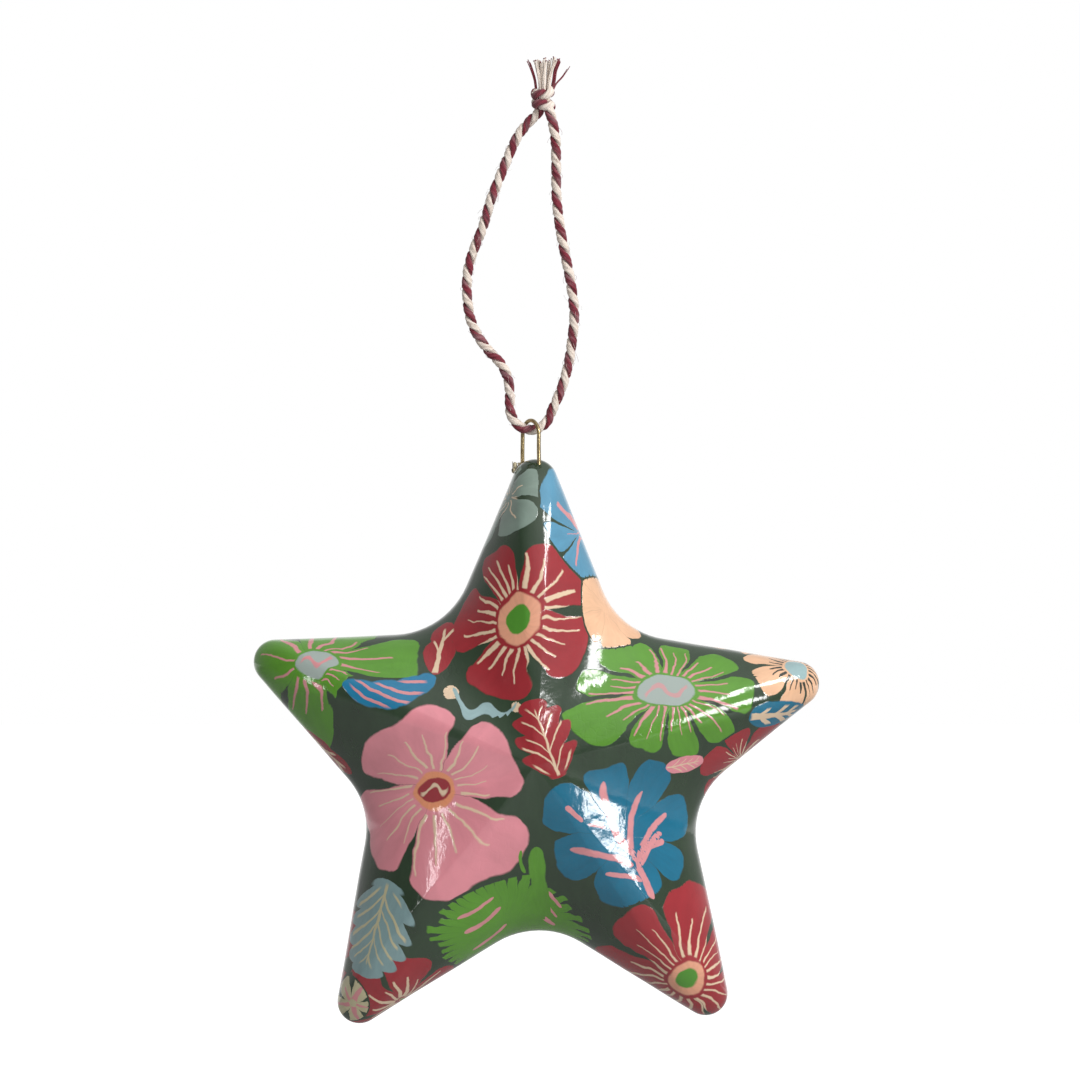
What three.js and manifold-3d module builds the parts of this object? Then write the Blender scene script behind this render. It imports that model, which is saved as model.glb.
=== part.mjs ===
// A lacquered papier-mache star that hangs from a loop of two-colour twine.
// Millimetres, +Z up, +X to the right of the painted front, which faces -Y.
// The origin is the hanging point: the underside of the knot, where the loop's two legs meet.

import * as THREE from 'three';
import { mergeVertices } from 'three/addons/utils/BufferGeometryUtils.js';
import Module from 'manifold-3d';

const wasm = await Module();
wasm.setup();

// Twine
const cordDiameter = 1.6;
const cordSides = 8;
const cordSteps = 64;

// Route of the twine's centre line, from the knot down the left leg, through the eye and up again
const leftLeg = [
  [-0.3, 0.6, 1.0],
  [-0.8, 0.8, -0.2],
  [-1.9, 0.8, -1.3],
  [-3.0, 0.7, -2.5],
  [-4.1, 0.5, -4.0],
  [-5.3, 0.2, -6.6],
  [-6.3, 0.0, -9.0],
  [-7.4, -0.1, -11.7],
  [-8.4, -0.1, -14.3],
  [-9.1, 0.1, -16.8],
  [-9.9, 0.3, -19.2],
  [-11.0, 0.5, -21.9],
  [-11.9, 0.7, -24.8],
  [-12.2, 0.8, -27.4],
  [-12.0, 0.8, -31.0],
  [-11.5, 0.7, -33.5],
  [-10.3, 0.5, -36.1],
  [-8.4, 0.3, -38.6],
  [-6.8, 0.1, -40.3],
  [-5.6, 0.0, -42.8],
  [-5.3, 0.0, -45.6],
  [-5.3, 0.0, -47.7],
  [-4.6, 0.0, -49.5],
  [-3.4, 0.0, -50.6],
];
const bight = [-1.95, 0.0, -50.95];
const rightLeg = [
  [-0.5, 0.0, -50.6],
  [0.7, 0.0, -49.5],
  [1.5, 0.0, -47.7],
  [3.0, 0.0, -44.2],
  [4.1, -0.1, -40.2],
  [4.7, -0.3, -36.2],
  [5.0, -0.5, -32.6],
  [4.6, -0.6, -28.4],
  [3.8, -0.5, -24.2],
  [2.9, -0.3, -19.6],
  [2.2, -0.1, -14.2],
  [2.1, -0.1, -8.6],
  [2.0, -0.4, -4.6],
  [1.5, -0.7, -1.6],
  [0.7, -0.6, 1.0],
];

// Knot: two wraps of twine round the pair of legs
const lowerWrap = 1.15;
const wrapSpacing = 1.8;
const knotWraps = [
  { height: lowerWrap + wrapSpacing, across: 1.15, deep: 1.0, lean: 14 },
  { height: lowerWrap, across: 1.1, deep: 1.0, lean: -12 },
];
const knotCore = { across: 1.3, deep: 1.25, half: 1.8 };
const wrapSides = 8;
const wrapSteps = 20;

// Frayed ends: foot, way points and free end of each yarn
const yarnSides = 6;
const yarnSteps = 6;
const yarns = [
  { name: 'cream_yarn_1', diameter: 0.55, route: [[-0.4, -0.5, 2.6], [-0.6, -0.5, 5.2], [-1.2, -0.5, 8.1]] },
  { name: 'cream_yarn_2', diameter: 0.55, route: [[0.2, -0.9, 2.6], [0.15, -0.9, 5.2], [0.3, -0.8, 8.3]] },
  { name: 'cream_yarn_3', diameter: 0.55, route: [[0.85, -0.5, 2.6], [1.05, -0.5, 5.2], [1.85, -0.5, 8.4]] },
  { name: 'cream_yarn_4', diameter: 0.55, route: [[-0.1, 0.3, 2.6], [-0.25, 0.35, 5.2], [-0.5, 0.4, 8.3]] },
  { name: 'cream_yarn_5', diameter: 0.55, route: [[0.75, 0.35, 2.6], [0.75, 0.4, 5.2], [1.1, 0.4, 8.4]] },
  { name: 'red_yarn_1', diameter: 0.45, route: [[-1.0, 0.1, 2.8], [-1.35, 0.1, 5.2], [-1.9, 0.1, 7.0], [-2.35, 0.1, 8.1]] },
  { name: 'red_yarn_2', diameter: 0.65, route: [[1.3, 0.9, 2.6], [1.7, 0.8, 4.8], [2.05, 0.6, 6.6], [2.8, 0.5, 8.4]] },
  { name: 'red_yarn_3', diameter: 0.3, route: [[1.3, -0.6, 2.6], [2.1, -0.5, 4.4], [3.1, -0.4, 5.5], [4.2, -0.4, 7.1]] },
];

// Wire eye: a U whose plane is turned from the star's own plane, so that the twine passes through it
const wireDiameter = 0.64;
const eyeSpacing = 4.8;
const eyeYaw = 57;
const legShow = 3.8;
const legGrip = 7;
const wireSides = 8;
const wireSteps = 40;

// Star outline before rounding: each arm's tip and the inner corner after it, anticlockwise from the right.
// extra is how much further out than the others the hand-made one reaches.
const armReach = 54;
const cornerReach = 25;
const starArms = [
  { tip: { bearing: 16.4, extra: -1.6 }, corner: { bearing: 57.4, extra: 0 } },
  { tip: { bearing: 89.9, extra: 0.4 }, corner: { bearing: 124.1, extra: 0.1 } },
  { tip: { bearing: 158.4, extra: -1.2 }, corner: { bearing: 195.0, extra: 2 } },
  { tip: { bearing: 234.0, extra: 2.2 }, corner: { bearing: 271.4, extra: -0.4 } },
  { tip: { bearing: 306.3, extra: 1.2 }, corner: { bearing: 345.4, extra: 0.1 } },
];
const tipRadius = 3.6;
const cornerRadius = 12.7;
const leastRadius = 0.4;
const starDepth = 28;
const crownPower = 1.25;
const wall = 2;
const starShift = 0.65;
const tipSteps = 6;
const cornerSteps = 5;
const flankSteps = 3;
const outerRings = 9;
const innerRings = 6;

// Joints between the pieces
const seamWidth = 0.3;
const seamRecess = 0.35;
const seatGap = 0.3;
const restGap = 0.4;
const plugLength = 11;
const boreSides = 12;
const bead = { across: 1.5, deep: 1.3, high: 1.5 };

const finishes = {
  lacquer: { color: 0x2d3c2c, roughness: 0.12, metalness: 0 },
  paste: { color: 0x8f8468, roughness: 0.8, metalness: 0 },
  pulp: { color: 0xb5aa92, roughness: 0.9, metalness: 0 },
  glue: { color: 0x7f7a55, roughness: 0.35, metalness: 0 },
  brass: { color: 0xbea064, roughness: 0.3, metalness: 1 },
  twine: { color: 0xb38f8c, roughness: 0.85, metalness: 0 },
  creamYarn: { color: 0xe4d7ca, roughness: 0.85, metalness: 0 },
  redYarn: { color: 0x823a48, roughness: 0.8, metalness: 0 },
};

// Where things stand, worked out from the sizes above
const pivot = new THREE.Vector3(...bight);
const eyeRadius = eyeSpacing / 2;
const eyeTop = pivot.z + cordDiameter / 2 + restGap + wireDiameter / 2;
const eyeCentreHeight = eyeTop - eyeRadius;
const tipHeight = eyeCentreHeight - legShow;
const starTop = Math.max(...starOutline(0).map((point) => point.y));
const starCentre = new THREE.Vector3(pivot.x + starShift, 0, tipHeight - starTop);

function geometryToSolid(geometry) {
  const bare = geometry.clone();
  bare.deleteAttribute('normal');
  bare.deleteAttribute('uv');
  const merged = mergeVertices(bare);
  const vertProperties = new Float32Array(merged.attributes.position.array);
  const triVerts = new Uint32Array(merged.index.array);
  return new wasm.Manifold(new wasm.Mesh({ numProp: 3, vertProperties, triVerts }));
}

function solidToGeometry(solid) {
  const mesh = solid.getMesh();
  const geometry = new THREE.BufferGeometry();
  geometry.setAttribute('position', new THREE.BufferAttribute(new Float32Array(mesh.vertProperties), 3));
  geometry.setIndex(new THREE.BufferAttribute(new Uint32Array(mesh.triVerts), 1));
  geometry.computeVertexNormals();
  return geometry;
}

function joinSolids(parts) {
  return parts.reduce((whole, part) => whole.add(part));
}

function signedVolume(points, faces) {
  return faces.reduce((sum, [a, b, c]) => {
    const cross = new THREE.Vector3().crossVectors(points[b], points[c]);
    return sum + points[a].dot(cross) / 6;
  }, 0);
}

function bodyFromFaces(points, faces) {
  const turned = signedVolume(points, faces) < 0 ? faces.map(([a, b, c]) => [a, c, b]) : faces;
  const geometry = new THREE.BufferGeometry().setFromPoints(points);
  geometry.setIndex(turned.flat());
  geometry.computeVertexNormals();
  return geometry;
}

function bandFaces(first, second, count) {
  const faces = [];
  for (let k = 0; k < count; k += 1) {
    const next = (k + 1) % count;
    faces.push([first + k, second + k, second + next], [first + k, second + next, first + next]);
  }
  return faces;
}

// A closed body through a list of rings, with a pole at each end
function poledBody(firstPole, rings, lastPole) {
  const count = rings[0].length;
  const points = [...rings.flat(), firstPole, lastPole];
  const faces = [];
  rings.slice(1).forEach((ring, k) => faces.push(...bandFaces(k * count, (k + 1) * count, count)));
  const lastRing = (rings.length - 1) * count;
  for (let k = 0; k < count; k += 1) {
    const next = (k + 1) % count;
    faces.push([points.length - 2, k, next], [lastRing + k, points.length - 1, lastRing + next]);
  }
  return bodyFromFaces(points, faces);
}

// A closed body through rings that come round to the first again
function ringBody(rings) {
  const count = rings[0].length;
  const faces = rings.flatMap((ring, k) => bandFaces(k * count, ((k + 1) % rings.length) * count, count));
  return bodyFromFaces(rings.flat(), faces);
}

function roundSection(diameter, sides) {
  const points = [];
  for (let k = 0; k < sides; k += 1) {
    const angle = (k / sides) * 2 * Math.PI;
    points.push(new THREE.Vector2(Math.cos(angle), Math.sin(angle)).multiplyScalar(diameter / 2));
  }
  return new THREE.Shape(points);
}

function tubeAlong(path, diameter, sides, steps) {
  return new THREE.ExtrudeGeometry(roundSection(diameter, sides), { extrudePath: path, steps });
}

function smoothPath(route) {
  const points = route.map((point) => new THREE.Vector3(...point));
  return new THREE.CatmullRomCurve3(points, false, 'centripetal');
}

function fromBearing(reach, { bearing, extra }) {
  const angle = THREE.MathUtils.degToRad(bearing);
  return new THREE.Vector2(Math.cos(angle), Math.sin(angle)).multiplyScalar(reach + extra);
}

// The star's ten corners, drawn in by inset all round; the inside lies to the left of every edge
function starCorners(inset) {
  const sharp = starArms.flatMap(({ tip, corner }) => [
    { point: fromBearing(armReach, tip), radius: Math.max(tipRadius - inset, leastRadius), steps: tipSteps },
    { point: fromBearing(cornerReach, corner), radius: cornerRadius + inset, steps: cornerSteps },
  ]);
  return sharp.map((corner, k) => {
    const before = sharp.at(k - 1).point;
    const after = sharp[(k + 1) % sharp.length].point;
    const arriving = corner.point.clone().sub(before).normalize();
    const leaving = after.clone().sub(corner.point).normalize();
    const inward = new THREE.Vector2(-arriving.y, arriving.x);
    const bisector = new THREE.Vector2(-leaving.y, leaving.x).add(inward).normalize();
    const shift = bisector.clone().multiplyScalar(inset / bisector.dot(inward));
    return { ...corner, point: corner.point.clone().add(shift) };
  });
}

// The star's outline about its centre, with every tip and inner corner rounded
function starOutline(inset) {
  const corners = starCorners(inset);
  const arcs = corners.map(({ point, radius, steps }, k) => {
    const toBefore = corners.at(k - 1).point.clone().sub(point).normalize();
    const toAfter = corners[(k + 1) % corners.length].point.clone().sub(point).normalize();
    const half = Math.acos(toBefore.dot(toAfter)) / 2;
    const middle = toBefore.clone().add(toAfter).normalize();
    const centre = point.clone().addScaledVector(middle, radius / Math.sin(half));
    const start = point.clone().addScaledVector(toBefore, radius / Math.tan(half)).sub(centre);
    const end = point.clone().addScaledVector(toAfter, radius / Math.tan(half)).sub(centre);
    const sweep = Math.atan2(start.cross(end), start.dot(end));
    const arc = [];
    for (let step = 0; step <= steps; step += 1) {
      arc.push(start.clone().rotateAround(new THREE.Vector2(), (sweep * step) / steps).add(centre));
    }
    return arc;
  });
  return arcs.flatMap((arc, k) => {
    const nextStart = arcs[(k + 1) % arcs.length][0];
    const flank = [];
    for (let step = 1; step < flankSteps; step += 1) {
      flank.push(arc.at(-1).clone().lerp(nextStart, step / flankSteps));
    }
    return [...arc, ...flank];
  });
}

// One ring of the star's form: the outline drawn towards the centre, at a depth in front or behind
function starRing(outline, share, depth) {
  return outline.map((p) => new THREE.Vector3(starCentre.x + p.x * share, depth, starCentre.z + p.y * share));
}

// Rings of a crowned star from near its pole to its rim; side is -1 in front and 1 behind
function crownRings(outline, rimDepth, poleDepth, side, count) {
  const rings = [];
  for (let k = count - 1; k >= 0; k -= 1) {
    const turn = ((k / count) * Math.PI) / 2;
    const depth = rimDepth + (poleDepth - rimDepth) * Math.sin(turn);
    rings.push(starRing(outline, Math.cos(turn) ** crownPower, side * depth));
  }
  return rings;
}

function starPole(depth) {
  return new THREE.Vector3(starCentre.x, depth, starCentre.z);
}

// The whole star as one solid lens, drawn in by inset
function starLens(inset, rings) {
  const outline = starOutline(inset);
  const pole = starDepth / 2 - inset;
  const front = crownRings(outline, 0, pole, -1, rings);
  const back = crownRings(outline, 0, pole, 1, rings).reverse().slice(1);
  return geometryToSolid(poledBody(starPole(-pole), [...front, ...back], starPole(pole)));
}

// Where the two legs of the wire stand; the right one is in front
const eyeAcross = new THREE.Vector3(1, 0, 0).applyAxisAngle(
  new THREE.Vector3(0, 0, 1),
  -THREE.MathUtils.degToRad(eyeYaw),
);
const legPlaces = [-1, 1].map((side) => pivot.clone().addScaledVector(eyeAcross, side * eyeRadius));

function legBore(place) {
  const length = tipHeight - eyeCentreHeight + legShow + 2 * eyeRadius + legGrip;
  const radius = (wireDiameter / 2 + seatGap) / Math.cos(Math.PI / boreSides);
  const bore = new THREE.CylinderGeometry(radius, radius, length + seatGap, boreSides);
  bore.rotateX(Math.PI / 2);
  bore.translate(place.x, place.y, tipHeight - legGrip - seatGap + (length + seatGap) / 2);
  return geometryToSolid(bore);
}

function starShell(side) {
  const rim = seamWidth / 2;
  const outer = crownRings(starOutline(0), rim, starDepth / 2, side, outerRings);
  const inner = crownRings(starOutline(wall), rim, starDepth / 2 - wall, side, innerRings).reverse();
  const shell = geometryToSolid(
    poledBody(starPole((side * starDepth) / 2), [...outer, ...inner], starPole(side * (starDepth / 2 - wall))),
  );
  const bores = legPlaces.filter((place) => place.y * side > 0).map(legBore);
  return solidToGeometry(joinSolids([shell]).subtract(joinSolids(bores)));
}

function joinPaste() {
  const outer = starOutline(seamRecess);
  const inner = starOutline(wall);
  const edge = seamWidth / 2;
  return ringBody([
    starRing(outer, 1, -edge),
    starRing(outer, 1, edge),
    starRing(inner, 1, edge),
    starRing(inner, 1, -edge),
  ]);
}

function anchorPlug() {
  const size = starDepth * 2;
  const keep = new THREE.BoxGeometry(size, size, size);
  keep.translate(starCentre.x, 0, tipHeight - plugLength + size / 2);
  const form = starLens(wall + seatGap, outerRings).intersect(geometryToSolid(keep));
  return solidToGeometry(form.subtract(joinSolids(legPlaces.map(legBore))));
}

class EyeCurve extends THREE.Curve {
  getPoint(t, target = new THREE.Vector3()) {
    const leg = legShow + legGrip;
    const arc = Math.PI * eyeRadius;
    const along = t * (2 * leg + arc);
    const turn = THREE.MathUtils.clamp((along - leg) / arc, 0, 1) * Math.PI;
    const drop = Math.max(leg - along, 0) + Math.max(along - leg - arc, 0);
    target.copy(pivot).addScaledVector(eyeAcross, -eyeRadius * Math.cos(turn));
    target.z = eyeCentreHeight + eyeRadius * Math.sin(turn) - drop;
    return target;
  }
}

function hangingEye() {
  return tubeAlong(new EyeCurve(), wireDiameter, wireSides, wireSteps);
}

// Height of the star's surface over a place near its top tip
function surfaceHeight(place) {
  const share = Math.sqrt(1 - (2 * place.y / starDepth) ** 2) ** crownPower;
  const sideways = (place.x - starCentre.x) / share;
  const outline = starOutline(0);
  const near = outline.filter((point) => point.y > starTop - tipRadius);
  const closest = near.reduce((a, b) => (Math.abs(a.x - sideways) < Math.abs(b.x - sideways) ? a : b));
  return starCentre.z + closest.y * share;
}

function glueBead() {
  const place = legPlaces[0];
  const ball = new THREE.SphereGeometry(1, 14, 10);
  ball.scale(bead.across, bead.deep, bead.high);
  ball.translate(place.x, place.y, surfaceHeight(place));
  const form = geometryToSolid(ball).subtract(starLens(-seatGap, outerRings));
  return solidToGeometry(form.subtract(legBore(place)));
}

// The knot grown by a clearance all round
function knotForm(grow) {
  const wraps = knotWraps.map(({ height, across, deep, lean }) => {
    const tube = cordDiameter / 2 + grow;
    const wrap = new THREE.TorusGeometry(1, 1, wrapSides, wrapSteps);
    const positions = wrap.attributes.position;
    const point = new THREE.Vector3();
    for (let k = 0; k < positions.count; k += 1) {
      point.fromBufferAttribute(positions, k);
      const round = Math.atan2(point.y, point.x);
      const outward = Math.hypot(point.x, point.y) - 1;
      point.set(Math.cos(round) * (across + outward * tube), Math.sin(round) * (deep + outward * tube), point.z * tube);
      positions.setXYZ(k, point.x, point.y, point.z);
    }
    wrap.rotateY(THREE.MathUtils.degToRad(lean));
    wrap.translate(0, 0, height);
    return geometryToSolid(wrap);
  });
  const core = new THREE.SphereGeometry(1, 14, 10);
  core.scale(knotCore.across + grow, knotCore.deep + grow, knotCore.half + grow);
  core.translate(0, 0, knotCore.half + seatGap);
  return joinSolids([...wraps, geometryToSolid(core)]);
}

function trimmedAtKnot(tube) {
  return solidToGeometry(geometryToSolid(tube).subtract(knotForm(seatGap)));
}

function cordLoop() {
  const path = smoothPath([...leftLeg, bight, ...rightLeg]);
  return trimmedAtKnot(tubeAlong(path, cordDiameter, cordSides, cordSteps));
}

function yarnEnd({ diameter, route }) {
  return trimmedAtKnot(tubeAlong(smoothPath(route), diameter, yarnSides, yarnSteps));
}

function namedPiece(name, geometry, finish) {
  const piece = new THREE.Mesh(geometry, new THREE.MeshStandardMaterial(finish));
  piece.name = name;
  return piece;
}

const star = new THREE.Group();
star.add(namedPiece('front_shell', starShell(-1), finishes.lacquer));
star.add(namedPiece('back_shell', starShell(1), finishes.lacquer));
star.add(namedPiece('join_paste', joinPaste(), finishes.paste));
star.add(namedPiece('hanging_eye', hangingEye(), finishes.brass));
star.add(namedPiece('anchor_plug', anchorPlug(), finishes.pulp));
star.add(namedPiece('glue_bead', glueBead(), finishes.glue));

const cord = new THREE.Group();
cord.add(namedPiece('cord_loop', cordLoop(), finishes.twine));
cord.add(namedPiece('cord_knot', solidToGeometry(knotForm(0)), finishes.twine));
yarns.forEach((yarn) => {
  const finish = yarn.name.startsWith('cream') ? finishes.creamYarn : finishes.redYarn;
  cord.add(namedPiece(yarn.name, yarnEnd(yarn), finish));
});

const ornament = new THREE.Group();
ornament.add(star, cord);
ornament.updateMatrixWorld(true);

export default ornament;
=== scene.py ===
import math

import bpy
import numpy as np
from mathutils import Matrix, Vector


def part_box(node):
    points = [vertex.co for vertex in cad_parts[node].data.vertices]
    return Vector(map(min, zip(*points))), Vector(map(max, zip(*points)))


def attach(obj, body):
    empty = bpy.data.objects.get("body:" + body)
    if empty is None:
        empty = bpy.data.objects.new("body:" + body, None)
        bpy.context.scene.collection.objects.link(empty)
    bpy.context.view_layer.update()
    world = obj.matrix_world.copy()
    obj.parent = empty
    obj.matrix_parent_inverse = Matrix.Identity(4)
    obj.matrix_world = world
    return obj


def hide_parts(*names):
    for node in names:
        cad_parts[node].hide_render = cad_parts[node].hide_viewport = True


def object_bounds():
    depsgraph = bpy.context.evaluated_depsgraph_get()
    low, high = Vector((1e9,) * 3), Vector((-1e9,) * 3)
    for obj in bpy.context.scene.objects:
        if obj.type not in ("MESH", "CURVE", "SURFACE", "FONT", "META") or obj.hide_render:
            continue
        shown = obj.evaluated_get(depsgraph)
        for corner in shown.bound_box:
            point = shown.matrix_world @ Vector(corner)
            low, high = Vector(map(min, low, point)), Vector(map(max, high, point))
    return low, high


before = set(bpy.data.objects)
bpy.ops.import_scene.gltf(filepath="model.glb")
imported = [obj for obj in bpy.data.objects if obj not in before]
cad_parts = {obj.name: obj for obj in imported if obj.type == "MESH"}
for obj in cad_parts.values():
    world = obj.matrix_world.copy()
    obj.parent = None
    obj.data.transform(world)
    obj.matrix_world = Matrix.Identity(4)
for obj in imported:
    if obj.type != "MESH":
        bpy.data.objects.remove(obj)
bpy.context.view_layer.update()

mm = 0.001
tiny = 1e-6              # keeps a division away from zero
white = (1, 1, 1, 1)
towardsCamera = np.array((0.0, -1.0, 0.0))
level = (1, 1, 0)        # drops the height from a place


def fromScreen(red, green, blue):
    # a colour as it shows on a screen, 0 to 255, turned into the linear values that shaders use
    def linear(value):
        share = value / 255
        return share / 12.92 if share <= 0.04045 else ((share + 0.055) / 1.055) ** 2.4

    return (linear(red), linear(green), linear(blue), 1.0)


def addToScene(name, data):
    thing = bpy.data.objects.new(name, data)
    bpy.context.scene.collection.objects.link(thing)
    return thing


def fit(piece, body, node):
    # the piece moves with its body, in place of the plain solid of that node
    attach(piece, body)
    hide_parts(node)
    return piece


def boxInMm(node):
    return [np.array(corner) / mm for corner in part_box(node)]


# Camera, level and square to the star's painted front

shot = {
    "framePixels": 1080,
    "mmPerPixel": 0.16,
    "originPixel": (543, 111.5),  # where the cord is held
    "distance": 1.1,
    "sensor": 36.0,
}


def makeCamera():
    camera = addToScene("camera", bpy.data.cameras.new("camera"))
    middle = shot["framePixels"] / 2
    width = shot["framePixels"] * shot["mmPerPixel"] * mm
    across = (middle - shot["originPixel"][0]) * shot["mmPerPixel"] * mm
    up = (shot["originPixel"][1] - middle) * shot["mmPerPixel"] * mm
    camera.location = (across, -shot["distance"], up)
    camera.rotation_euler = (math.radians(90), 0, 0)
    camera.data.sensor_width = shot["sensor"]
    camera.data.lens = shot["sensor"] * shot["distance"] / width
    bpy.context.scene.camera = camera


makeCamera()
bpy.context.scene.view_settings.view_transform = "Standard"
print("camera placed")


# Building meshes

class MeshDraft:
    # vertices and faces gathered from several shapes, made into one mesh at the end
    def __init__(self):
        self.points = []
        self.threads = []
        self.faces = []
        self.slots = []
        self.count = 0

    def add(self, points, faces, slot=0, threads=None):
        # slot is the material of all these faces, or a list with each face's own
        self.points.append(np.asarray(points, dtype=float))
        self.threads.append(np.zeros((len(points), 3)) if threads is None else threads)
        self.faces.extend([tuple(self.count + k for k in face) for face in faces])
        self.slots.extend(np.broadcast_to(slot, len(faces)).tolist())
        self.count += len(points)

    def build(self, name, materials, sharpDegrees=None):
        # points are in millimetres here, and the mesh is in metres
        mesh = bpy.data.meshes.new(name)
        mesh.from_pydata((np.concatenate(self.points) * mm).tolist(), [], self.faces)
        for material in materials:
            mesh.materials.append(material)
        mesh.polygons.foreach_set("material_index", self.slots)
        threads = np.concatenate(self.threads).astype(np.float32)
        if threads.any():
            places = mesh.attributes.new("threadPlace", "FLOAT_VECTOR", "POINT")
            places.data.foreach_set("vector", threads.ravel())
        mesh.shade_smooth()
        if sharpDegrees:
            mesh.set_sharp_from_angle(angle=math.radians(sharpDegrees))
        mesh.update()
        return addToScene(name, mesh)


def unit(vectors):
    return vectors / np.linalg.norm(vectors, axis=-1, keepdims=True)


def onceRound(steps):
    return np.linspace(0, 2 * math.pi, steps, endpoint=False)


def lengthsAlong(path):
    # how far along the path each of its points lies
    return np.concatenate([[0], np.cumsum(np.linalg.norm(np.diff(path, axis=0), axis=1))])


def ringFaces(rings, sides, closed=False):
    # four-sided faces between neighbouring rings
    faces = []
    for ring in range(rings if closed else rings - 1):
        here, after = ring * sides, (ring + 1) % rings * sides
        for k in range(sides):
            beside = (k + 1) % sides
            faces.append((here + k, here + beside, after + beside, after + k))
    return faces


def tubeFaces(rings, sides, closed=False):
    # the same, and a cap at each end of a tube that doesn't meet itself
    caps = [tuple(reversed(range(sides))), tuple(range((rings - 1) * sides, rings * sides))]
    return ringFaces(rings, sides, closed) + ([] if closed else caps)


def smoothRoute(route, step, legSteps=24):
    # an even walk along a smooth curve through the route's points, whose bends suit the gaps between them
    spots = np.array(route, dtype=float)
    spots = np.vstack([2 * spots[0] - spots[1], spots, 2 * spots[-1] - spots[-2]])
    fine = []
    for before, start, end, after in zip(spots, spots[1:], spots[2:], spots[3:]):
        pairs = ((before, start), (start, end), (end, after))
        first, middle, last = (math.sqrt(np.linalg.norm(b - a)) for a, b in pairs)
        leave = (start - before) / first - (end - before) / (first + middle) + (end - start) / middle
        leave = leave * middle
        arrive = ((end - start) / middle - (after - start) / (middle + last) + (after - end) / last) * middle
        for t in np.linspace(0, 1, legSteps, endpoint=False):
            bend = (3 * (end - start) - 2 * leave - arrive) * t**2
            bend = bend + (2 * (start - end) + leave + arrive) * t**3
            fine.append(start + leave * t + bend)
    fine = np.array([*fine, spots[-2]])
    along = lengthsAlong(fine)
    places = np.linspace(0, along[-1], max(int(along[-1] / step), 2) + 1)
    return np.stack([np.interp(places, along, fine[:, axis]) for axis in range(3)], axis=1), places


def carryFrames(path, aside=(0.1, 1, 0.1)):
    # two directions square to the path at every point, carried along it without twisting
    # aside is a way that no path here starts off in
    ahead = unit(np.gradient(path, axis=0))
    sides = [unit(np.cross(ahead[0], aside))]
    for direction in ahead[1:]:
        sides.append(unit(sides[-1] - direction * np.dot(sides[-1], direction)))
    sides = np.array(sides)
    return sides, np.cross(ahead, sides)


def addThread(draft, points, angles, along, slot, closed=False):
    # rings of points round a thread, which remember their place round it and along it
    places = np.broadcast_arrays(np.cos(angles), np.sin(angles), along[:, None])
    faces = tubeFaces(len(points), len(angles), closed)
    draft.add(points.reshape(-1, 3), faces, slot, np.stack(places, axis=2).reshape(-1, 3))


def addTube(draft, path, radii, sides, slot=0):
    side, over = carryFrames(path)
    angles = onceRound(sides)
    reach = np.broadcast_to(np.asarray(radii, dtype=float), (len(path),))[:, None, None]
    circle = np.cos(angles)[:, None] * side[:, None] + np.sin(angles)[:, None] * over[:, None]
    addThread(draft, path[:, None] + reach * circle, angles, lengthsAlong(path), slot)


# Shader nodes: plain sums on sockets, and the few node kinds that the finishes use

def sumMethod(operation, swapped=False):
    def work(term, *others):
        values = (*others, term) if swapped else (term, *others)
        return term.sheet.sum(operation, *values)

    return work


class Term:
    # a socket that plain arithmetic works on
    def __init__(self, sheet, socket):
        self.sheet = sheet
        self.socket = socket

    __add__ = __radd__ = sumMethod("ADD")
    __mul__ = __rmul__ = sumMethod("MULTIPLY")
    __sub__ = sumMethod("SUBTRACT")
    __rsub__ = sumMethod("SUBTRACT", swapped=True)
    __truediv__ = sumMethod("DIVIDE")
    __rtruediv__ = sumMethod("DIVIDE", swapped=True)
    __pow__ = sumMethod("POWER")
    __abs__ = sumMethod("ABSOLUTE")


editorGrid = {"nodesInRow": 14, "across": 190, "down": 260}   # how the nodes lie in the shader editor


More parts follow.
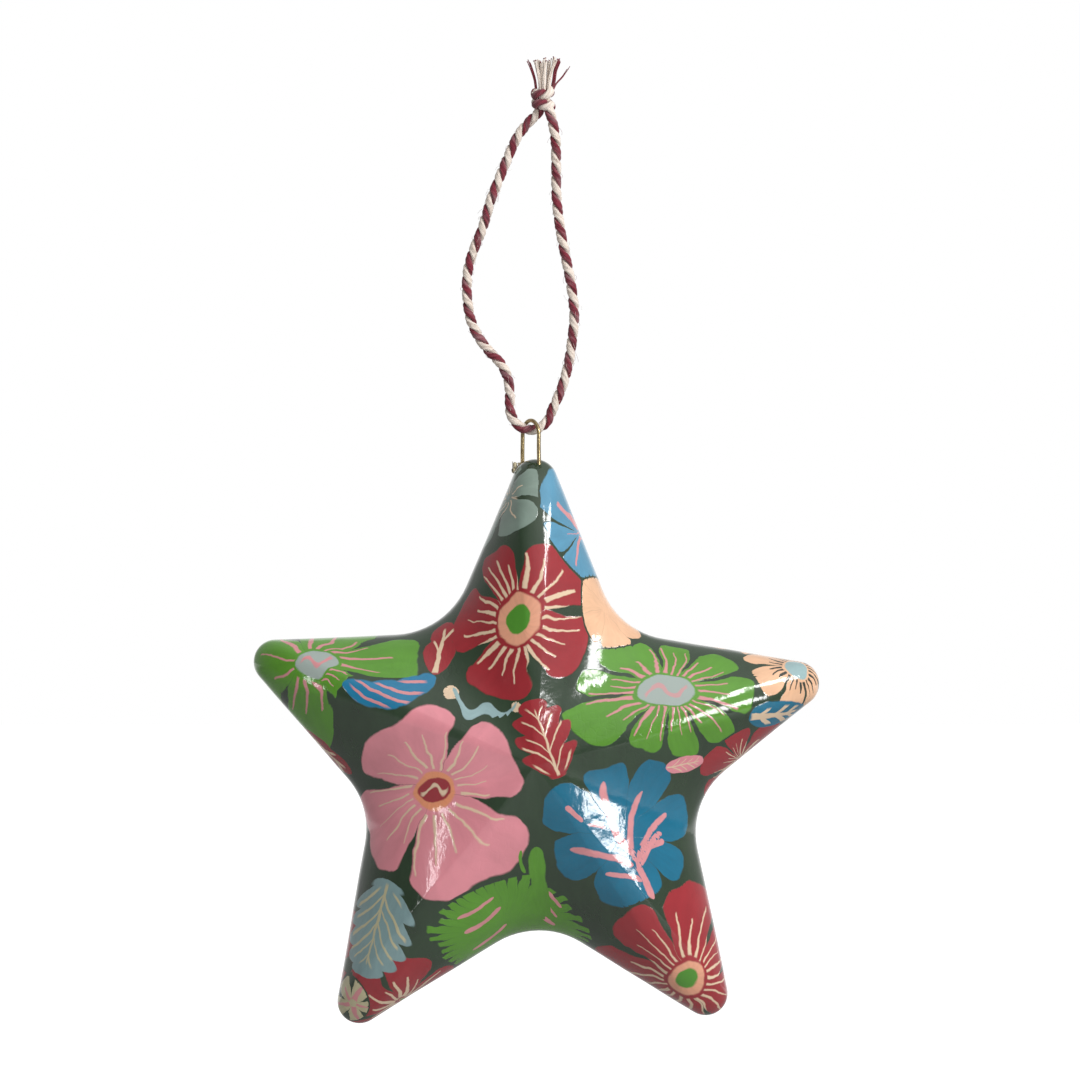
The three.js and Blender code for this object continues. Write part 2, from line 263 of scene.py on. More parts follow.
class Sheet:
    # one node tree, with a method for each kind of node that the finishes need
    def __init__(self, tree):
        self.tree = tree
        self.count = 0

    def node(self, kind, feeds=None, **settings):
        node = self.tree.nodes.new(kind)
        row, column = divmod(self.count, editorGrid["nodesInRow"])
        node.location = (column * editorGrid["across"], -row * editorGrid["down"])
        self.count += 1
        for name, value in settings.items():
            setattr(node, name, value)
        self.feed(node, feeds or {})
        return node

    def feed(self, node, feeds):
        for name, value in feeds.items():
            if isinstance(value, Term):
                self.tree.links.new(value.socket, node.inputs[name])
            else:
                node.inputs[name].default_value = value

    def term(self, node, name=0):
        return Term(self, node.outputs[name])

    def sum(self, operation, *values):
        return self.term(self.node("ShaderNodeMath", dict(enumerate(values)), operation=operation))

    def most(self, first, second):
        return self.sum("MAXIMUM", first, second)

    def whole(self, value):
        return self.sum("ROUND", value)

    def split(self, vector):
        node = self.node("ShaderNodeSeparateXYZ", {0: vector})
        return [self.term(node, k) for k in range(3)]

    def combine(self, *values):
        return self.term(self.node("ShaderNodeCombineXYZ", dict(enumerate(values))))

    def noise(self, place, scale, detail=2.0, output="Fac", stretch=None):
        if stretch:
            place = self.term(self.node("ShaderNodeVectorMath", {0: place, 1: stretch}, operation="MULTIPLY"))
        feeds = {"Vector": place, "Scale": scale, "Detail": detail}
        return self.term(self.node("ShaderNodeTexNoise", feeds), output)

    def chance(self, *values):
        # a random number, the same wherever the values are
        return self.term(self.node("ShaderNodeTexWhiteNoise", {"Vector": self.combine(*values)}), "Value")

    def below(self, value, limit, softness):
        # 1 where value is under the limit and 0 where it is over, with a soft step between
        feeds = {"Value": value - limit, "From Min": -softness, "From Max": softness}
        feeds.update({"To Min": 1.0, "To Max": 0.0})
        return self.term(self.node("ShaderNodeMapRange", feeds, interpolation_type="SMOOTHSTEP"))

    def blend(self, share, first, second, mode="MIX"):
        feeds = {0: share, 6: first, 7: second}   # the sockets that the node has for colours
        return self.term(self.node("ShaderNodeMix", feeds, data_type="RGBA", blend_type=mode), 2)

    def toned(self, colour, tone):
        return self.blend(1.0, colour, tone, "MULTIPLY")

    def bump(self, height, depthMm, strength):
        feeds = {"Height": height, "Distance": depthMm * mm, "Strength": strength}
        return self.term(self.node("ShaderNodeBump", feeds))

    def attribute(self, name, output="Vector"):
        return self.term(self.node("ShaderNodeAttribute", attribute_name=name), output)

    def place(self):
        return self.term(self.node("ShaderNodeTexCoord"), "Object")

    def group(self, tree, feeds):
        # the placed group's outputs, by name
        node = self.node("ShaderNodeGroup", feeds, node_tree=tree)
        return {output.name: self.term(node, output.name) for output in node.outputs}


def startGroup(name, inputs, outputs):
    # inputs and outputs are the names of the group's sockets, listed by their kind
    tree = bpy.data.node_groups.new(name, "ShaderNodeTree")
    for way, sockets in (("INPUT", inputs), ("OUTPUT", outputs)):
        for kind, labels in sockets.items():
            for label in labels:
                tree.interface.new_socket(label, in_out=way, socket_type="NodeSocket" + kind)
    sheet = Sheet(tree)
    entry = sheet.node("NodeGroupInput")
    return tree, sheet, {label: sheet.term(entry, label) for labels in inputs.values() for label in labels}


def endGroup(sheet, results):
    sheet.node("NodeGroupOutput", results)


def startMaterial(name, constants):
    material = bpy.data.materials.new(name)
    material.use_nodes = True
    sheet = Sheet(material.node_tree)
    principled = material.node_tree.nodes["Principled BSDF"]
    sheet.feed(principled, constants)
    return material, sheet, principled


# Cotton, for the twine, the knot and the yarns

cottonFinish = {
    # each hollow colour is painted shade, a darker copy of the cotton for where the fibres dip between each
    # other
    "red": {"Colour": fromScreen(128, 44, 58), "Hollow Shade Colour": fromScreen(70, 22, 32)},
    "cream": {"Colour": fromScreen(229, 216, 204), "Hollow Shade Colour": fromScreen(196, 177, 162)},
    "surface": {"Roughness": 0.85, "Sheen Weight": 0.25, "Sheen Roughness": 0.5, "Specular IOR Level": 0.2},
    "fineness": 1.6,
    "fibreStretch": (1.0, 1.0, 0.22),
    "fuzzFineness": 3.5,      # times as fine as the fibres
    "fuzzStretch": (1.0, 1.0, 0.5),
    "fuzzTone": 0.3,          # how much the fuzz counts in the colour and in the relief, beside the fibres
    "fuzzRelief": 0.5,
    # where the painted shade falls between the fibres, and how dark it is
    "shadeBelow": (0.46, 0.14),
    "shadeShare": 0.75,
    "patchFineness": 0.5,
    "fadedAbove": 0.6,
    "fadedEdge": 0.2,
    "fadedShare": 0.25,
    "fibreMm": 0.03,
    "relief": 0.4,
}


def buildCottonGroup():
    # fine fibres that run along a thread, with shade painted into the hollows between them, and faded in
    # patches
    tree, sheet, given = startGroup(
        "cottonFibres",
        {"Vector": ("Thread",), "Color": ("Colour", "Hollow Shade Colour"), "Float": ("Fineness",)},
        {"Color": ("Colour",), "Float": ("Height",)},
    )
    thread, fineness = given["Thread"], given["Fineness"]
    strands = sheet.noise(thread, fineness, 3, stretch=cottonFinish["fibreStretch"])
    finer = fineness * cottonFinish["fuzzFineness"]
    fuzz = sheet.noise(thread, finer, 2, stretch=cottonFinish["fuzzStretch"])
    # painted shade: the colour darkens where the fibres lie low, as shade would fall there
    hollowShade = sheet.below(strands + (fuzz - 0.5) * cottonFinish["fuzzTone"], *cottonFinish["shadeBelow"])
    hollowShade = hollowShade * cottonFinish["shadeShare"]
    colour = sheet.blend(hollowShade, given["Colour"], given["Hollow Shade Colour"])
    patches = sheet.noise(thread, cottonFinish["patchFineness"], 2)
    faded = sheet.below(cottonFinish["fadedAbove"], patches, cottonFinish["fadedEdge"])
    faded = faded * cottonFinish["fadedShare"]
    colour = sheet.blend(faded, colour, sheet.blend(0.5, given["Colour"], white))
    endGroup(sheet, {"Colour": colour, "Height": strands + fuzz * cottonFinish["fuzzRelief"]})
    return tree


cottonGroup = buildCottonGroup()


def makeCotton(name, colours):
    material, sheet, principled = startMaterial(name, cottonFinish["surface"])
    feeds = {"Thread": sheet.attribute("threadPlace"), "Fineness": cottonFinish["fineness"], **colours}
    fibres = sheet.group(cottonGroup, feeds)
    bump = sheet.bump(fibres["Height"], cottonFinish["fibreMm"], cottonFinish["relief"])
    sheet.feed(principled, {"Base Color": fibres["Colour"], "Normal": bump})
    return material


cordMaterials = [makeCotton(colour + "Cotton", cottonFinish[colour]) for colour in ("red", "cream")]
redSlot, creamSlot = 0, 1

# Twine loop: a red and a cream ply laid round each other

twine = {
    "diameter": 1.6,
    "ringStep": 0.17,
    "plySides": 18,
    "plyMiddle": 0.235,   # from the twine's middle to a ply's, as a share of the diameter
    "plyDepth": 0.265,    # half a ply across, outwards
    "plyWidth": 0.40,     # half a ply across, sideways
    "yarnsInPly": 3,
    "yarnLay": 0.5,       # turns of the yarns in a ply for each turn of the plies
    "yarnRelief": 0.045,
    "fibreShift": 40,     # mm between the plies' fibre patterns, which keeps them unlike
    "redFaces": ((4.0, 0), (48.4, 11), (62.7, 14), (110.8, 25)),   # mm along the loop, turns made by then
}

# loose fibres that stand a little off the twine
hairs = {
    "count": 240,
    "lengths": (0.5, 1.3),
    "radius": 0.022,
    "root": 0.42,         # from the twine's middle, as a share of its diameter
    "rise": 0.32,         # how far a hair stands off, as a share of its length
    "arch": (0.5, 0.95),  # how much of a half wave it makes
    "stray": 0.25,
    "steps": 5,
    "clearRings": 4,      # rings at each end of the loop where no hair starts
    "seed": 3,
}

# the loop's route, leg by leg, from inside the knot round the wire eye and back
leftLeg = (
    (-0.3, 0.6, 1.0), (-0.8, 0.8, -0.2), (-1.9, 0.8, -1.3), (-3.0, 0.7, -2.5), (-4.1, 0.5, -4.0),
    (-5.3, 0.2, -6.6), (-6.3, 0.0, -9.0), (-7.4, -0.1, -11.7), (-8.4, -0.1, -14.3), (-9.1, 0.1, -16.8),
    (-9.9, 0.3, -19.2), (-11.0, 0.5, -21.9), (-11.9, 0.7, -24.8), (-12.2, 0.8, -27.4), (-12.0, 0.8, -31.0),
    (-11.5, 0.7, -33.5), (-10.3, 0.5, -36.1), (-8.4, 0.3, -38.6), (-6.8, 0.1, -40.3), (-5.6, 0.0, -42.8),
    (-5.3, 0.0, -45.6), (-5.3, 0.0, -47.7), (-4.6, 0.0, -49.5), (-3.4, 0.0, -50.6),
)
bight = ((-1.95, 0.0, -50.95),)
rightLeg = (
    (-0.5, 0.0, -50.6), (0.7, 0.0, -49.5), (1.5, 0.0, -47.7), (3.0, 0.0, -44.2), (4.1, -0.1, -40.2),
    (4.7, -0.3, -36.2), (5.0, -0.5, -32.6), (4.6, -0.6, -28.4), (3.8, -0.5, -24.2), (2.9, -0.3, -19.6),
    (2.2, -0.1, -14.2), (2.1, -0.1, -8.6), (2.0, -0.4, -4.6), (1.5, -0.7, -1.6), (0.7, -0.6, 1.0),
)


def layTwine(draft, path, facing, turns, diameter, closed=False):
    # facing is the way the red ply looks at turn 0, and turns how often it has gone round by each point
    steps = np.roll(path, -1, axis=0) - np.roll(path, 1, axis=0) if closed else np.gradient(path, axis=0)
    ahead = unit(steps)
    side = unit(facing - ahead * np.sum(ahead * facing, axis=1, keepdims=True))
    over = np.cross(ahead, side)
    along = lengthsAlong(path)
    angles = onceRound(twine["plySides"])
    for ply in (redSlot, creamSlot):
        lean = (-2 * math.pi * turns + math.pi * ply)[:, None]
        out = np.cos(lean) * side + np.sin(lean) * over
        across = np.cross(ahead, out)
        yarns = twine["yarnsInPly"] * (angles[None] - lean * twine["yarnLay"])
        ridges = (1 + twine["yarnRelief"] * np.cos(yarns))[..., None] if not closed else 1
        depth = twine["plyDepth"] * np.cos(angles)[None, :, None] * ridges
        width = twine["plyWidth"] * np.sin(angles)[None, :, None] * ridges
        middle = (path + out * twine["plyMiddle"] * diameter)[:, None]
        points = middle + (depth * out[:, None] + width * across[:, None]) * diameter
        addThread(draft, points, angles, along + ply * twine["fibreShift"], ply, closed)


def addHairs(draft, path):
    chooser = np.random.default_rng(hairs["seed"])
    side, over = carryFrames(path)
    root = hairs["root"] * twine["diameter"]
    t = np.linspace(0, 1, hairs["steps"])[:, None]
    for _ in range(hairs["count"]):
        k = chooser.integers(hairs["clearRings"], len(path) - hairs["clearRings"])
        angle = chooser.uniform(0, 2 * math.pi)
        out = math.cos(angle) * side[k] + math.sin(angle) * over[k]
        lean = unit(path[k + 1] - path[k - 1]) * chooser.choice((-1, 1))
        lean = lean + chooser.normal(0, hairs["stray"], 3)
        length = chooser.uniform(*hairs["lengths"])
        arch = np.sin(t * math.pi * chooser.uniform(*hairs["arch"]))
        hair = path[k] + out * (root + hairs["rise"] * length * arch) + lean * length * t
        addTube(draft, hair, hairs["radius"], sides=3, slot=int(chooser.integers(0, 2)))


def makeLoop():
    path, along = smoothRoute(leftLeg + bight + rightLeg, twine["ringStep"])
    marks, counts = zip(*twine["redFaces"])
    firstPitch = (marks[1] - marks[0]) / (counts[1] - counts[0])
    lastPitch = (marks[-1] - marks[-2]) / (counts[-1] - counts[-2])
    turns = np.interp(along, marks, counts)
    turns = turns + np.minimum(along - marks[0], 0) / firstPitch
    turns = turns + np.maximum(along - marks[-1], 0) / lastPitch
    draft = MeshDraft()
    layTwine(draft, path, towardsCamera, turns, twine["diameter"])
    addHairs(draft, path)
    loop = draft.build("twine_loop", cordMaterials)
    return fit(loop, "cord", "cord_loop"), path, along[-1]


# Knot: the doubled twine wrapped twice round itself and drawn tight

knot = {
    "diameter": 1.78,
    "across": 1.06,
    "deep": 0.95,
    "rings": 64,
    # height of a wrap's middle, its lean up to the right, how far its front hangs, where red faces out
    "wraps": ((2.95, 0.24, 0.30, -48), (1.12, -0.20, 0.05, -42)),
    "twistsInWrap": 2,
    # where the twine crosses behind: bearings and heights, how far out, how thick and how twisted
    "backBearings": (85, 285),
    "backHeights": (0.7, 3.1),
    "backRings": 48,
    "backReach": 1.22,
    "backThickness": 0.8,
    "backTwists": 1.3,
    # the two strands inside the wraps: place across, and how far their middles bow aside
    "core": ((-0.25, -0.1), (0.3, 0.12)),
    "coreThickness": 0.85,
    "coreTwistMm": 4.2,
    "coreStep": 0.2,
}


def knotSpot(angle, height, share=1.0):
    # a place on a wrap; the angle is 0 at the front and grows to the right
    return np.stack([
        knot["across"] * share * np.sin(angle),
        -knot["deep"] * share * np.cos(angle),
        np.broadcast_to(height, angle.shape),
    ], axis=1)


def makeKnot():
    draft = MeshDraft()
    angles = onceRound(knot["rings"])
    for height, lean, sag, redAt in knot["wraps"]:
        path = knotSpot(angles, height + lean * np.sin(angles) - sag * np.cos(angles))
        turns = (angles - math.radians(redAt)) / (2 * math.pi) * knot["twistsInWrap"]
        layTwine(draft, path, unit(path * level), turns, knot["diameter"], closed=True)
    behind = np.radians(np.linspace(*knot["backBearings"], knot["backRings"]))
    path = knotSpot(behind, np.linspace(*knot["backHeights"], knot["backRings"]), knot["backReach"])
    turns = np.linspace(0, knot["backTwists"], knot["backRings"])
    layTwine(draft, path, unit(path * level), turns, knot["diameter"] * knot["backThickness"])
    for across, bow in knot["core"]:
        route = ((across, 0.1, 0.6), (across + bow, 0.0, 2.0), (across, 0.1, 3.5))
        path, along = smoothRoute(route, knot["coreStep"])
        thickness = twine["diameter"] * knot["coreThickness"]
        layTwine(draft, path, towardsCamera, along / knot["coreTwistMm"], thickness)
    return fit(draft.build("twine_knot", cordMaterials), "cord", "cord_knot")


# Yarn ends, combed out above the knot

yarnEnds = {
    "strands": 6,
    "strandShare": 0.21,   # a strand's radius as a share of the yarn's diameter
    "strandTaper": (1.05, 0.25),   # its thickness at the root, and how much of it is gone at the end
    "spread": 0.27,        # how far the outer strands lie from the yarn's middle
    "opening": 0.35,       # how much further they lie at the end
    "twist": 1.8,
    "fray": 0.27,
    "frayPower": 4,        # the higher, the nearer to the end a strand starts to stray
    "step": 0.35,
    "leastRings": 4,
    "sides": 7,
    # a speck of the other colour on a strand's end: its lengths below and above it, lean, radii and sides
    "speckLengths": (0.14, 0.196),
    "speckRise": 0.6,
    "speckRadii": (0.09, 0.11, 0.05),
    "speckSides": 6,
    "seed": 8,
    # node: diameter and route in millimetres
    "yarns": {
        "cream_yarn_1": (0.55, ((-0.4, -0.5, 2.6), (-0.6, -0.5, 5.2), (-1.2, -0.5, 8.1))),
        "cream_yarn_2": (0.55, ((0.2, -0.9, 2.6), (0.15, -0.9, 5.2), (0.3, -0.8, 8.3))),
        "cream_yarn_3": (0.55, ((0.85, -0.5, 2.6), (1.05, -0.5, 5.2), (1.85, -0.5, 8.4))),
        "cream_yarn_4": (0.55, ((-0.1, 0.3, 2.6), (-0.25, 0.35, 5.2), (-0.5, 0.4, 8.3))),
        "cream_yarn_5": (0.55, ((0.75, 0.35, 2.6), (0.75, 0.4, 5.2), (1.1, 0.4, 8.4))),
        "red_yarn_1": (0.45, ((-1.0, 0.1, 2.8), (-1.35, 0.1, 5.2), (-1.9, 0.1, 7.0), (-2.35, 0.1, 8.1))),
        "red_yarn_2": (0.65, ((1.3, 0.9, 2.6), (1.7, 0.8, 4.8), (2.05, 0.6, 6.6), (2.8, 0.5, 8.4))),
        "red_yarn_3": (0.3, ((1.3, -0.6, 2.6), (2.1, -0.5, 4.4), (3.1, -0.4, 5.5), (4.2, -0.4, 7.1))),
    },
}


def makeYarnEnd(node, diameter, route, chooser):
    path, along = smoothRoute(route, yarnEnds["step"])
    side, over = carryFrames(path)
    share = (along / along[-1])[:, None]
    isRed = node.startswith("red")
    plain, speck = (redSlot, creamSlot) if isRed else (creamSlot, redSlot)
    thickness, taper = yarnEnds["strandTaper"]
    below, above = yarnEnds["speckLengths"]
    draft = MeshDraft()
    for strand in range(yarnEnds["strands"]):
        angle = 2 * math.pi * strand / (yarnEnds["strands"] - 1) + share * yarnEnds["twist"]
        reach = (0 if strand == 0 else yarnEnds["spread"]) * diameter
        out = np.cos(angle) * side + np.sin(angle) * over
        stray = chooser.normal(0, 1, 3) * yarnEnds["fray"] * diameter * share ** yarnEnds["frayPower"]
        line = path + out * reach * (1 + yarnEnds["opening"] * share) + stray
        ends = max(yarnEnds["leastRings"], len(line) - int(chooser.integers(0, 2)))
        radii = yarnEnds["strandShare"] * diameter * (thickness - taper * share[:ends, 0])
        addTube(draft, line[:ends], radii, yarnEnds["sides"], plain)
        if not isRed and strand % 2:
            tip = line[ends - 1]
            lean = unit(chooser.normal(0, 1, 3) + (0, 0, yarnEnds["speckRise"]))
            spots = np.array((tip - lean * below, tip, tip + lean * above))
            addTube(draft, spots, yarnEnds["speckRadii"], yarnEnds["speckSides"], speck)
    piece = draft.build(node + "_strands", cordMaterials)
    return fit(piece, "cord", node)


def makeCord():
    loop, path, length = makeLoop()
    chooser = np.random.default_rng(yarnEnds["seed"])
    ends = [makeYarnEnd(node, *facts, chooser) for node, facts in yarnEnds["yarns"].items()]
    makeKnot()


makeCord()
print("twine laid and knotted")

# Wire eye: one soft brass wire bent over the twine, both legs pushed into the star

wireEye = {
    "diameter": 0.64,
    "spacing": 4.8,
    "yaw": 57.0,
    "sides": 18,
    "archRings": 36,
    "legRings": 14,
    # small bends left by the hand: their size, how often they come, the mm in which they grow, and how
    # much of them lies in the eye's own plane and in depth
    "handBent": 0.07,
    "bendsPerMm": 0.9,
    "bendFade": 4,
    "bendWays": (0.6, 0.4),
}

brassFinish = {
    "colour": fromScreen(184, 164, 122),
    "tarnish": fromScreen(104, 88, 62),
    "tarnishShare": 0.45,
    "stainsPerMetre": 900,
    "stainAbove": 0.5,
    "stainEdge": 0.14,
    "drawnPerMetre": 2600,       # fine lines that drawing the wire left along it
    "drawnStretch": (1.0, 1.0, 0.06),
    "roughness": 0.16,
    "stainRoughness": 0.22,
    "drawnRoughness": 0.12,
    "reliefMm": 0.02,
    "relief": 0.35,
}


def makeBrass():
    material, sheet, principled = startMaterial("brassWire", {"Metallic": 1.0})
    place = sheet.place()
    stains = sheet.noise(place, brassFinish["stainsPerMetre"], 4)
    stain = sheet.below(brassFinish["stainAbove"], stains, brassFinish["stainEdge"])
    drawn = sheet.noise(place, brassFinish["drawnPerMetre"], 3, stretch=brassFinish["drawnStretch"])
    tarnish = stain * brassFinish["tarnishShare"]
    rough = stain * brassFinish["stainRoughness"] + drawn * brassFinish["drawnRoughness"]
    sheet.feed(principled, {
        "Base Color": sheet.blend(tarnish, brassFinish["colour"], brassFinish["tarnish"]),
        "Roughness": rough + brassFinish["roughness"],
        "Normal": sheet.bump(drawn, brassFinish["reliefMm"], brassFinish["relief"]),
    })
    return material


def makeEye():
    low, high = boxInMm("hanging_eye")
    middle = (low + high) / 2
    radius = wireEye["spacing"] / 2
    top = high[2] - wireEye["diameter"] / 2 - radius
    yaw = math.radians(wireEye["yaw"])
    ahead = np.array((math.cos(yaw), -math.sin(yaw), 0.0))
    arch = np.linspace(math.pi, 0, wireEye["archRings"])
    legs = wireEye["legRings"]
    across = np.concatenate([np.full(legs, -radius), radius * np.cos(arch), np.full(legs, radius)])
    leg = np.linspace(low[2], top, legs + 1)[:-1]
    up = np.concatenate([leg, top + radius * np.sin(arch), leg[::-1]])
    grown = np.clip((top + radius - up) / wireEye["bendFade"], 0, 1)
    wobble = wireEye["handBent"] * np.sin(up * wireEye["bendsPerMm"] + across) * grown
    inPlane, inDepth = wireEye["bendWays"]
    bent = wobble[:, None] * (ahead * inPlane + (0, inDepth, 0))
    path = middle * level + across[:, None] * ahead + bent
    path[:, 2] = up
    draft = MeshDraft()
    addTube(draft, path, wireEye["diameter"] / 2, wireEye["sides"])
    fit(draft.build("brass_eye", [makeBrass()]), "star", "hanging_eye")


makeEye()
print("wire bent")

# Dried paste where the wire goes in, and the bare pulp of the star

pasteFinish = {
    # pale and dark colours, and how many grains there are to a metre
    "bead": (fromScreen(196, 184, 152), fromScreen(84, 78, 58), 1500),
    "pulp": (fromScreen(176, 158, 132), fromScreen(120, 104, 84), 700),
    "join": (fromScreen(214, 204, 180), fromScreen(160, 148, 122), 900),
    "roughness": 0.6,
    "pitFineness": 3.2,    # times as fine as the grains
    "pitTone": 0.4,        # how much the pits count in the colour and in the relief, beside the grains
    "pitRelief": 0.6,
    "darkShare": (0.47, 0.1),
    "reliefMm": 0.12,
    "relief": 0.9,
}

pasteBead = {
    # the main lump's half size and how far it sits down, as shares of the bead's own half size
    "mainSize": (0.8, 0.8, 0.75),
    "mainDrop": 0.25,
    "lumps": 7,
    "lumpSpread": 0.6,
    "lumpSizes": (0.22, 0.42),
    # middles and half sizes of the lumps that ran down beside the wire
    "trail": (((-4.5, -0.6, -56.6), (0.34, 0.4, 0.5)), ((-4.75, -0.5, -57.4), (0.28, 0.35, 0.45))),
    "fibres": 16,
    "fibreRadius": 0.055,
    "fibreSides": 6,
    "fibreStep": 0.1,
    "fibreRoot": 0.75,
    "fibreBends": 3,
    "fibreStray": 0.34,
    "overhang": 0.1,       # mm that the fibres may leave the bead's box by
    "seed": 21,
}


def makePaste(name, pale, dark, grainsPerMetre):
    material, sheet, principled = startMaterial(name, {"Roughness": pasteFinish["roughness"]})
    place = sheet.place()
    grain = sheet.noise(place, grainsPerMetre, 4)
    pits = sheet.noise(place, grainsPerMetre * pasteFinish["pitFineness"], 3)
    darkened = sheet.below(grain + (pits - 0.5) * pasteFinish["pitTone"], *pasteFinish["darkShare"])
    height = grain + pits * pasteFinish["pitRelief"]
    sheet.feed(principled, {
        "Base Color": sheet.blend(darkened, pale, dark),
        "Normal": sheet.bump(height, pasteFinish["reliefMm"], pasteFinish["relief"]),
    })
    return material


def addLump(draft, centre, size, chooser, rings=12, sides=18, endGap=0.12, broadSwell=0.13, fineSwell=0.09):
    phases = chooser.uniform(0, 6.28, 6)
    polar = np.linspace(endGap, math.pi - endGap, rings)[:, None]
    turn = onceRound(sides)[None]
    wide = np.sin(polar)
    bumps = 1 + broadSwell * np.sin(3 * turn + phases[0] + 2 * polar) * wide
    bumps = bumps + fineSwell * np.sin(5 * polar + phases[1]) * np.cos(2 * turn + phases[2]) * wide
    ball = np.stack([wide * np.cos(turn), wide * np.sin(turn), np.cos(polar) + 0 * turn], axis=2)
    points = centre + ball * bumps[..., None] * np.array(size)
    draft.add(points.reshape(-1, 3), tubeFaces(rings, sides))


def makePasteBead():
    low, high = boxInMm("glue_bead")
    middle, half = (low + high) / 2, (high - low) / 2
    chooser = np.random.default_rng(pasteBead["seed"])
    draft = MeshDraft()
    addLump(draft, middle - (0, 0, half[2] * pasteBead["mainDrop"]), half * pasteBead["mainSize"], chooser)
    for spot, size in pasteBead["trail"]:
        addLump(draft, np.array(spot), size, chooser)
    for _ in range(pasteBead["lumps"]):
        shift = chooser.uniform(-pasteBead["lumpSpread"], pasteBead["lumpSpread"], 3) * half
        addLump(draft, middle + shift, half * chooser.uniform(*pasteBead["lumpSizes"], 3), chooser)
    for _ in range(pasteBead["fibres"]):
        bends = [middle + unit(chooser.normal(0, 1, 3)) * half * pasteBead["fibreRoot"]]
        for _ in range(pasteBead["fibreBends"]):
            bends.append(bends[-1] + chooser.normal(0, pasteBead["fibreStray"], 3) * (1, 1, 0.9))
        path = smoothRoute(bends, pasteBead["fibreStep"])[0]
        path = np.clip(path, low - pasteBead["overhang"], high + pasteBead["overhang"])
        addTube(draft, path, pasteBead["fibreRadius"], pasteBead["fibreSides"])
    paste = makePaste("driedPaste", *pasteFinish["bead"])
    fit(draft.build("paste_bead", [paste]), "star", "glue_bead")


makePasteBead()
print("paste bead set")

# The star's form, from the same sizes as its construction

starForm = {
    "middleAcross": -1.3,
    "armReach": 54.0,
    "cornerReach": 25.0,
    # each tip's and inner corner's bearing in degrees, and how far it lies beyond the reach
    "tips": ((16.4, -1.6), (89.9, 0.4), (158.4, -1.2), (234.0, 2.2), (306.3, 1.2)),
    "corners": ((57.4, 0.0), (124.1, 0.1), (195.0, 2.0), (271.4, -0.4), (345.4, 0.1)),
    "tipRadius": 3.6,
    "cornerRadius": 12.7,
    "leastRadius": 0.4,
    "depth": 28.0,
    "crownPower": 1.25,
    "wall": 2.0,
    "tipSteps": 16,
    "cornerSteps": 12,
    "flankSteps": 22,
    "outerRings": 80,
    "innerRings": 8,
    "rimDegrees": 60,     # edges sharper than this stay sharp
    # how far the pressing hand left the form uneven, and its swells: wavelength in mm and weight
    "unevenMm": 0.16,
    "swells": ((34, 0.5), (21, 0.3), (13, 0.2), (8, 0.12), (5, 0.06)),
    "seed": 11,
}
starPole = starForm["depth"] / 2
nearRim = 0.999           # a share of the way to the rim, where the surface still has a slope


def starOutline(inset):
    corners = []
    for (tipBearing, tipExtra), (cornerBearing, cornerExtra) in zip(starForm["tips"], starForm["corners"]):
        tip = starForm["armReach"] + tipExtra
        corner = starForm["cornerReach"] + cornerExtra
        corners.append((tipBearing, tip, starForm["tipRadius"] - inset, starForm["tipSteps"]))
        corners.append((cornerBearing, corner, starForm["cornerRadius"] + inset, starForm["cornerSteps"]))
    bearings = np.radians([corner[0] for corner in corners])
    sharp = np.stack([np.cos(bearings), np.sin(bearings)], axis=1) * [[corner[1]] for corner in corners]
    arriving = unit(sharp - np.roll(sharp, 1, axis=0))
    leaving = np.roll(arriving, -1, axis=0)
    inward = np.stack([-arriving[:, 1], arriving[:, 0]], axis=1)
    middle = unit(inward + np.stack([-leaving[:, 1], leaving[:, 0]], axis=1))
    drawn = sharp + middle * inset / np.sum(middle * inward, axis=1, keepdims=True)
    arcs = []
    for k, here in enumerate(drawn):
        radius, steps = max(corners[k][2], starForm["leastRadius"]), corners[k][3]
        before, after = unit(drawn[k - 1] - here), unit(drawn[(k + 1) % len(drawn)] - here)
        half = math.acos(np.dot(before, after)) / 2
        centre = here + unit(before + after) * radius / math.sin(half)
        start = here + before * radius / math.tan(half) - centre
        end = here + after * radius / math.tan(half) - centre
        first = math.atan2(start[1], start[0])
        sweep = (math.atan2(end[1], end[0]) - first + math.pi) % (2 * math.pi) - math.pi
        angles = first + sweep * np.linspace(0, 1, steps + 1)
        arcs.append(centre + radius * np.stack([np.cos(angles), np.sin(angles)], axis=1))
    outline = []
    flank = starForm["flankSteps"]
    for arc, after in zip(arcs, arcs[1:] + arcs[:1]):
        outline.extend(arc)
        outline.extend(arc[-1] + (after[0] - arc[-1]) * step / flank for step in range(1, flank))
    return np.array(outline)


starLine = starOutline(0)
starTop = boxInMm("front_shell")[1][2]
starMiddle = np.array((starForm["middleAcross"], 0.0, starTop - starLine[:, 1].max()))


def handPressed(points):
    # slow swells, such as a hand leaves in wet pulp, from -1 to 1
    chooser = np.random.default_rng(starForm["seed"])
    total = np.zeros(len(points))
    for wavelength, weight in starForm["swells"]:
        directions = unit(chooser.normal(size=(3, 3)))
        phases = chooser.uniform(0, 2 * math.pi, 3)
        total += weight * np.sin(points @ directions.T * 2 * math.pi / wavelength + phases).mean(axis=1)
    return total


def surfacePoint(at, side):
    # the place on the star's front (side -1) or back (side 1) over a point given from its middle
    bearings = np.arctan2(starLine[:, 1], starLine[:, 0])
    order = np.argsort(bearings)
    reaches = np.hypot(starLine[order, 0], starLine[order, 1])
    reach = np.interp(math.atan2(at[1], at[0]), bearings[order], reaches, period=2 * math.pi)
    away = math.hypot(*at)
    share = min(away / reach, nearRim)
    depth = starPole * math.sqrt(1 - share ** (2 / starForm["crownPower"]))
    edge = min(1, reach * nearRim / max(away, tiny))
    return starMiddle + (at[0] * edge, side * depth, at[1] * edge)


def surfaceNormal(at, side, step=0.3):
    right = surfacePoint((at[0] + step, at[1]), side) - surfacePoint((at[0] - step, at[1]), side)
    above = surfacePoint((at[0], at[1] + step), side) - surfacePoint((at[0], at[1] - step), side)
    normal = unit(np.cross(right, above))
    return normal if normal[1] * side > 0 else -normal


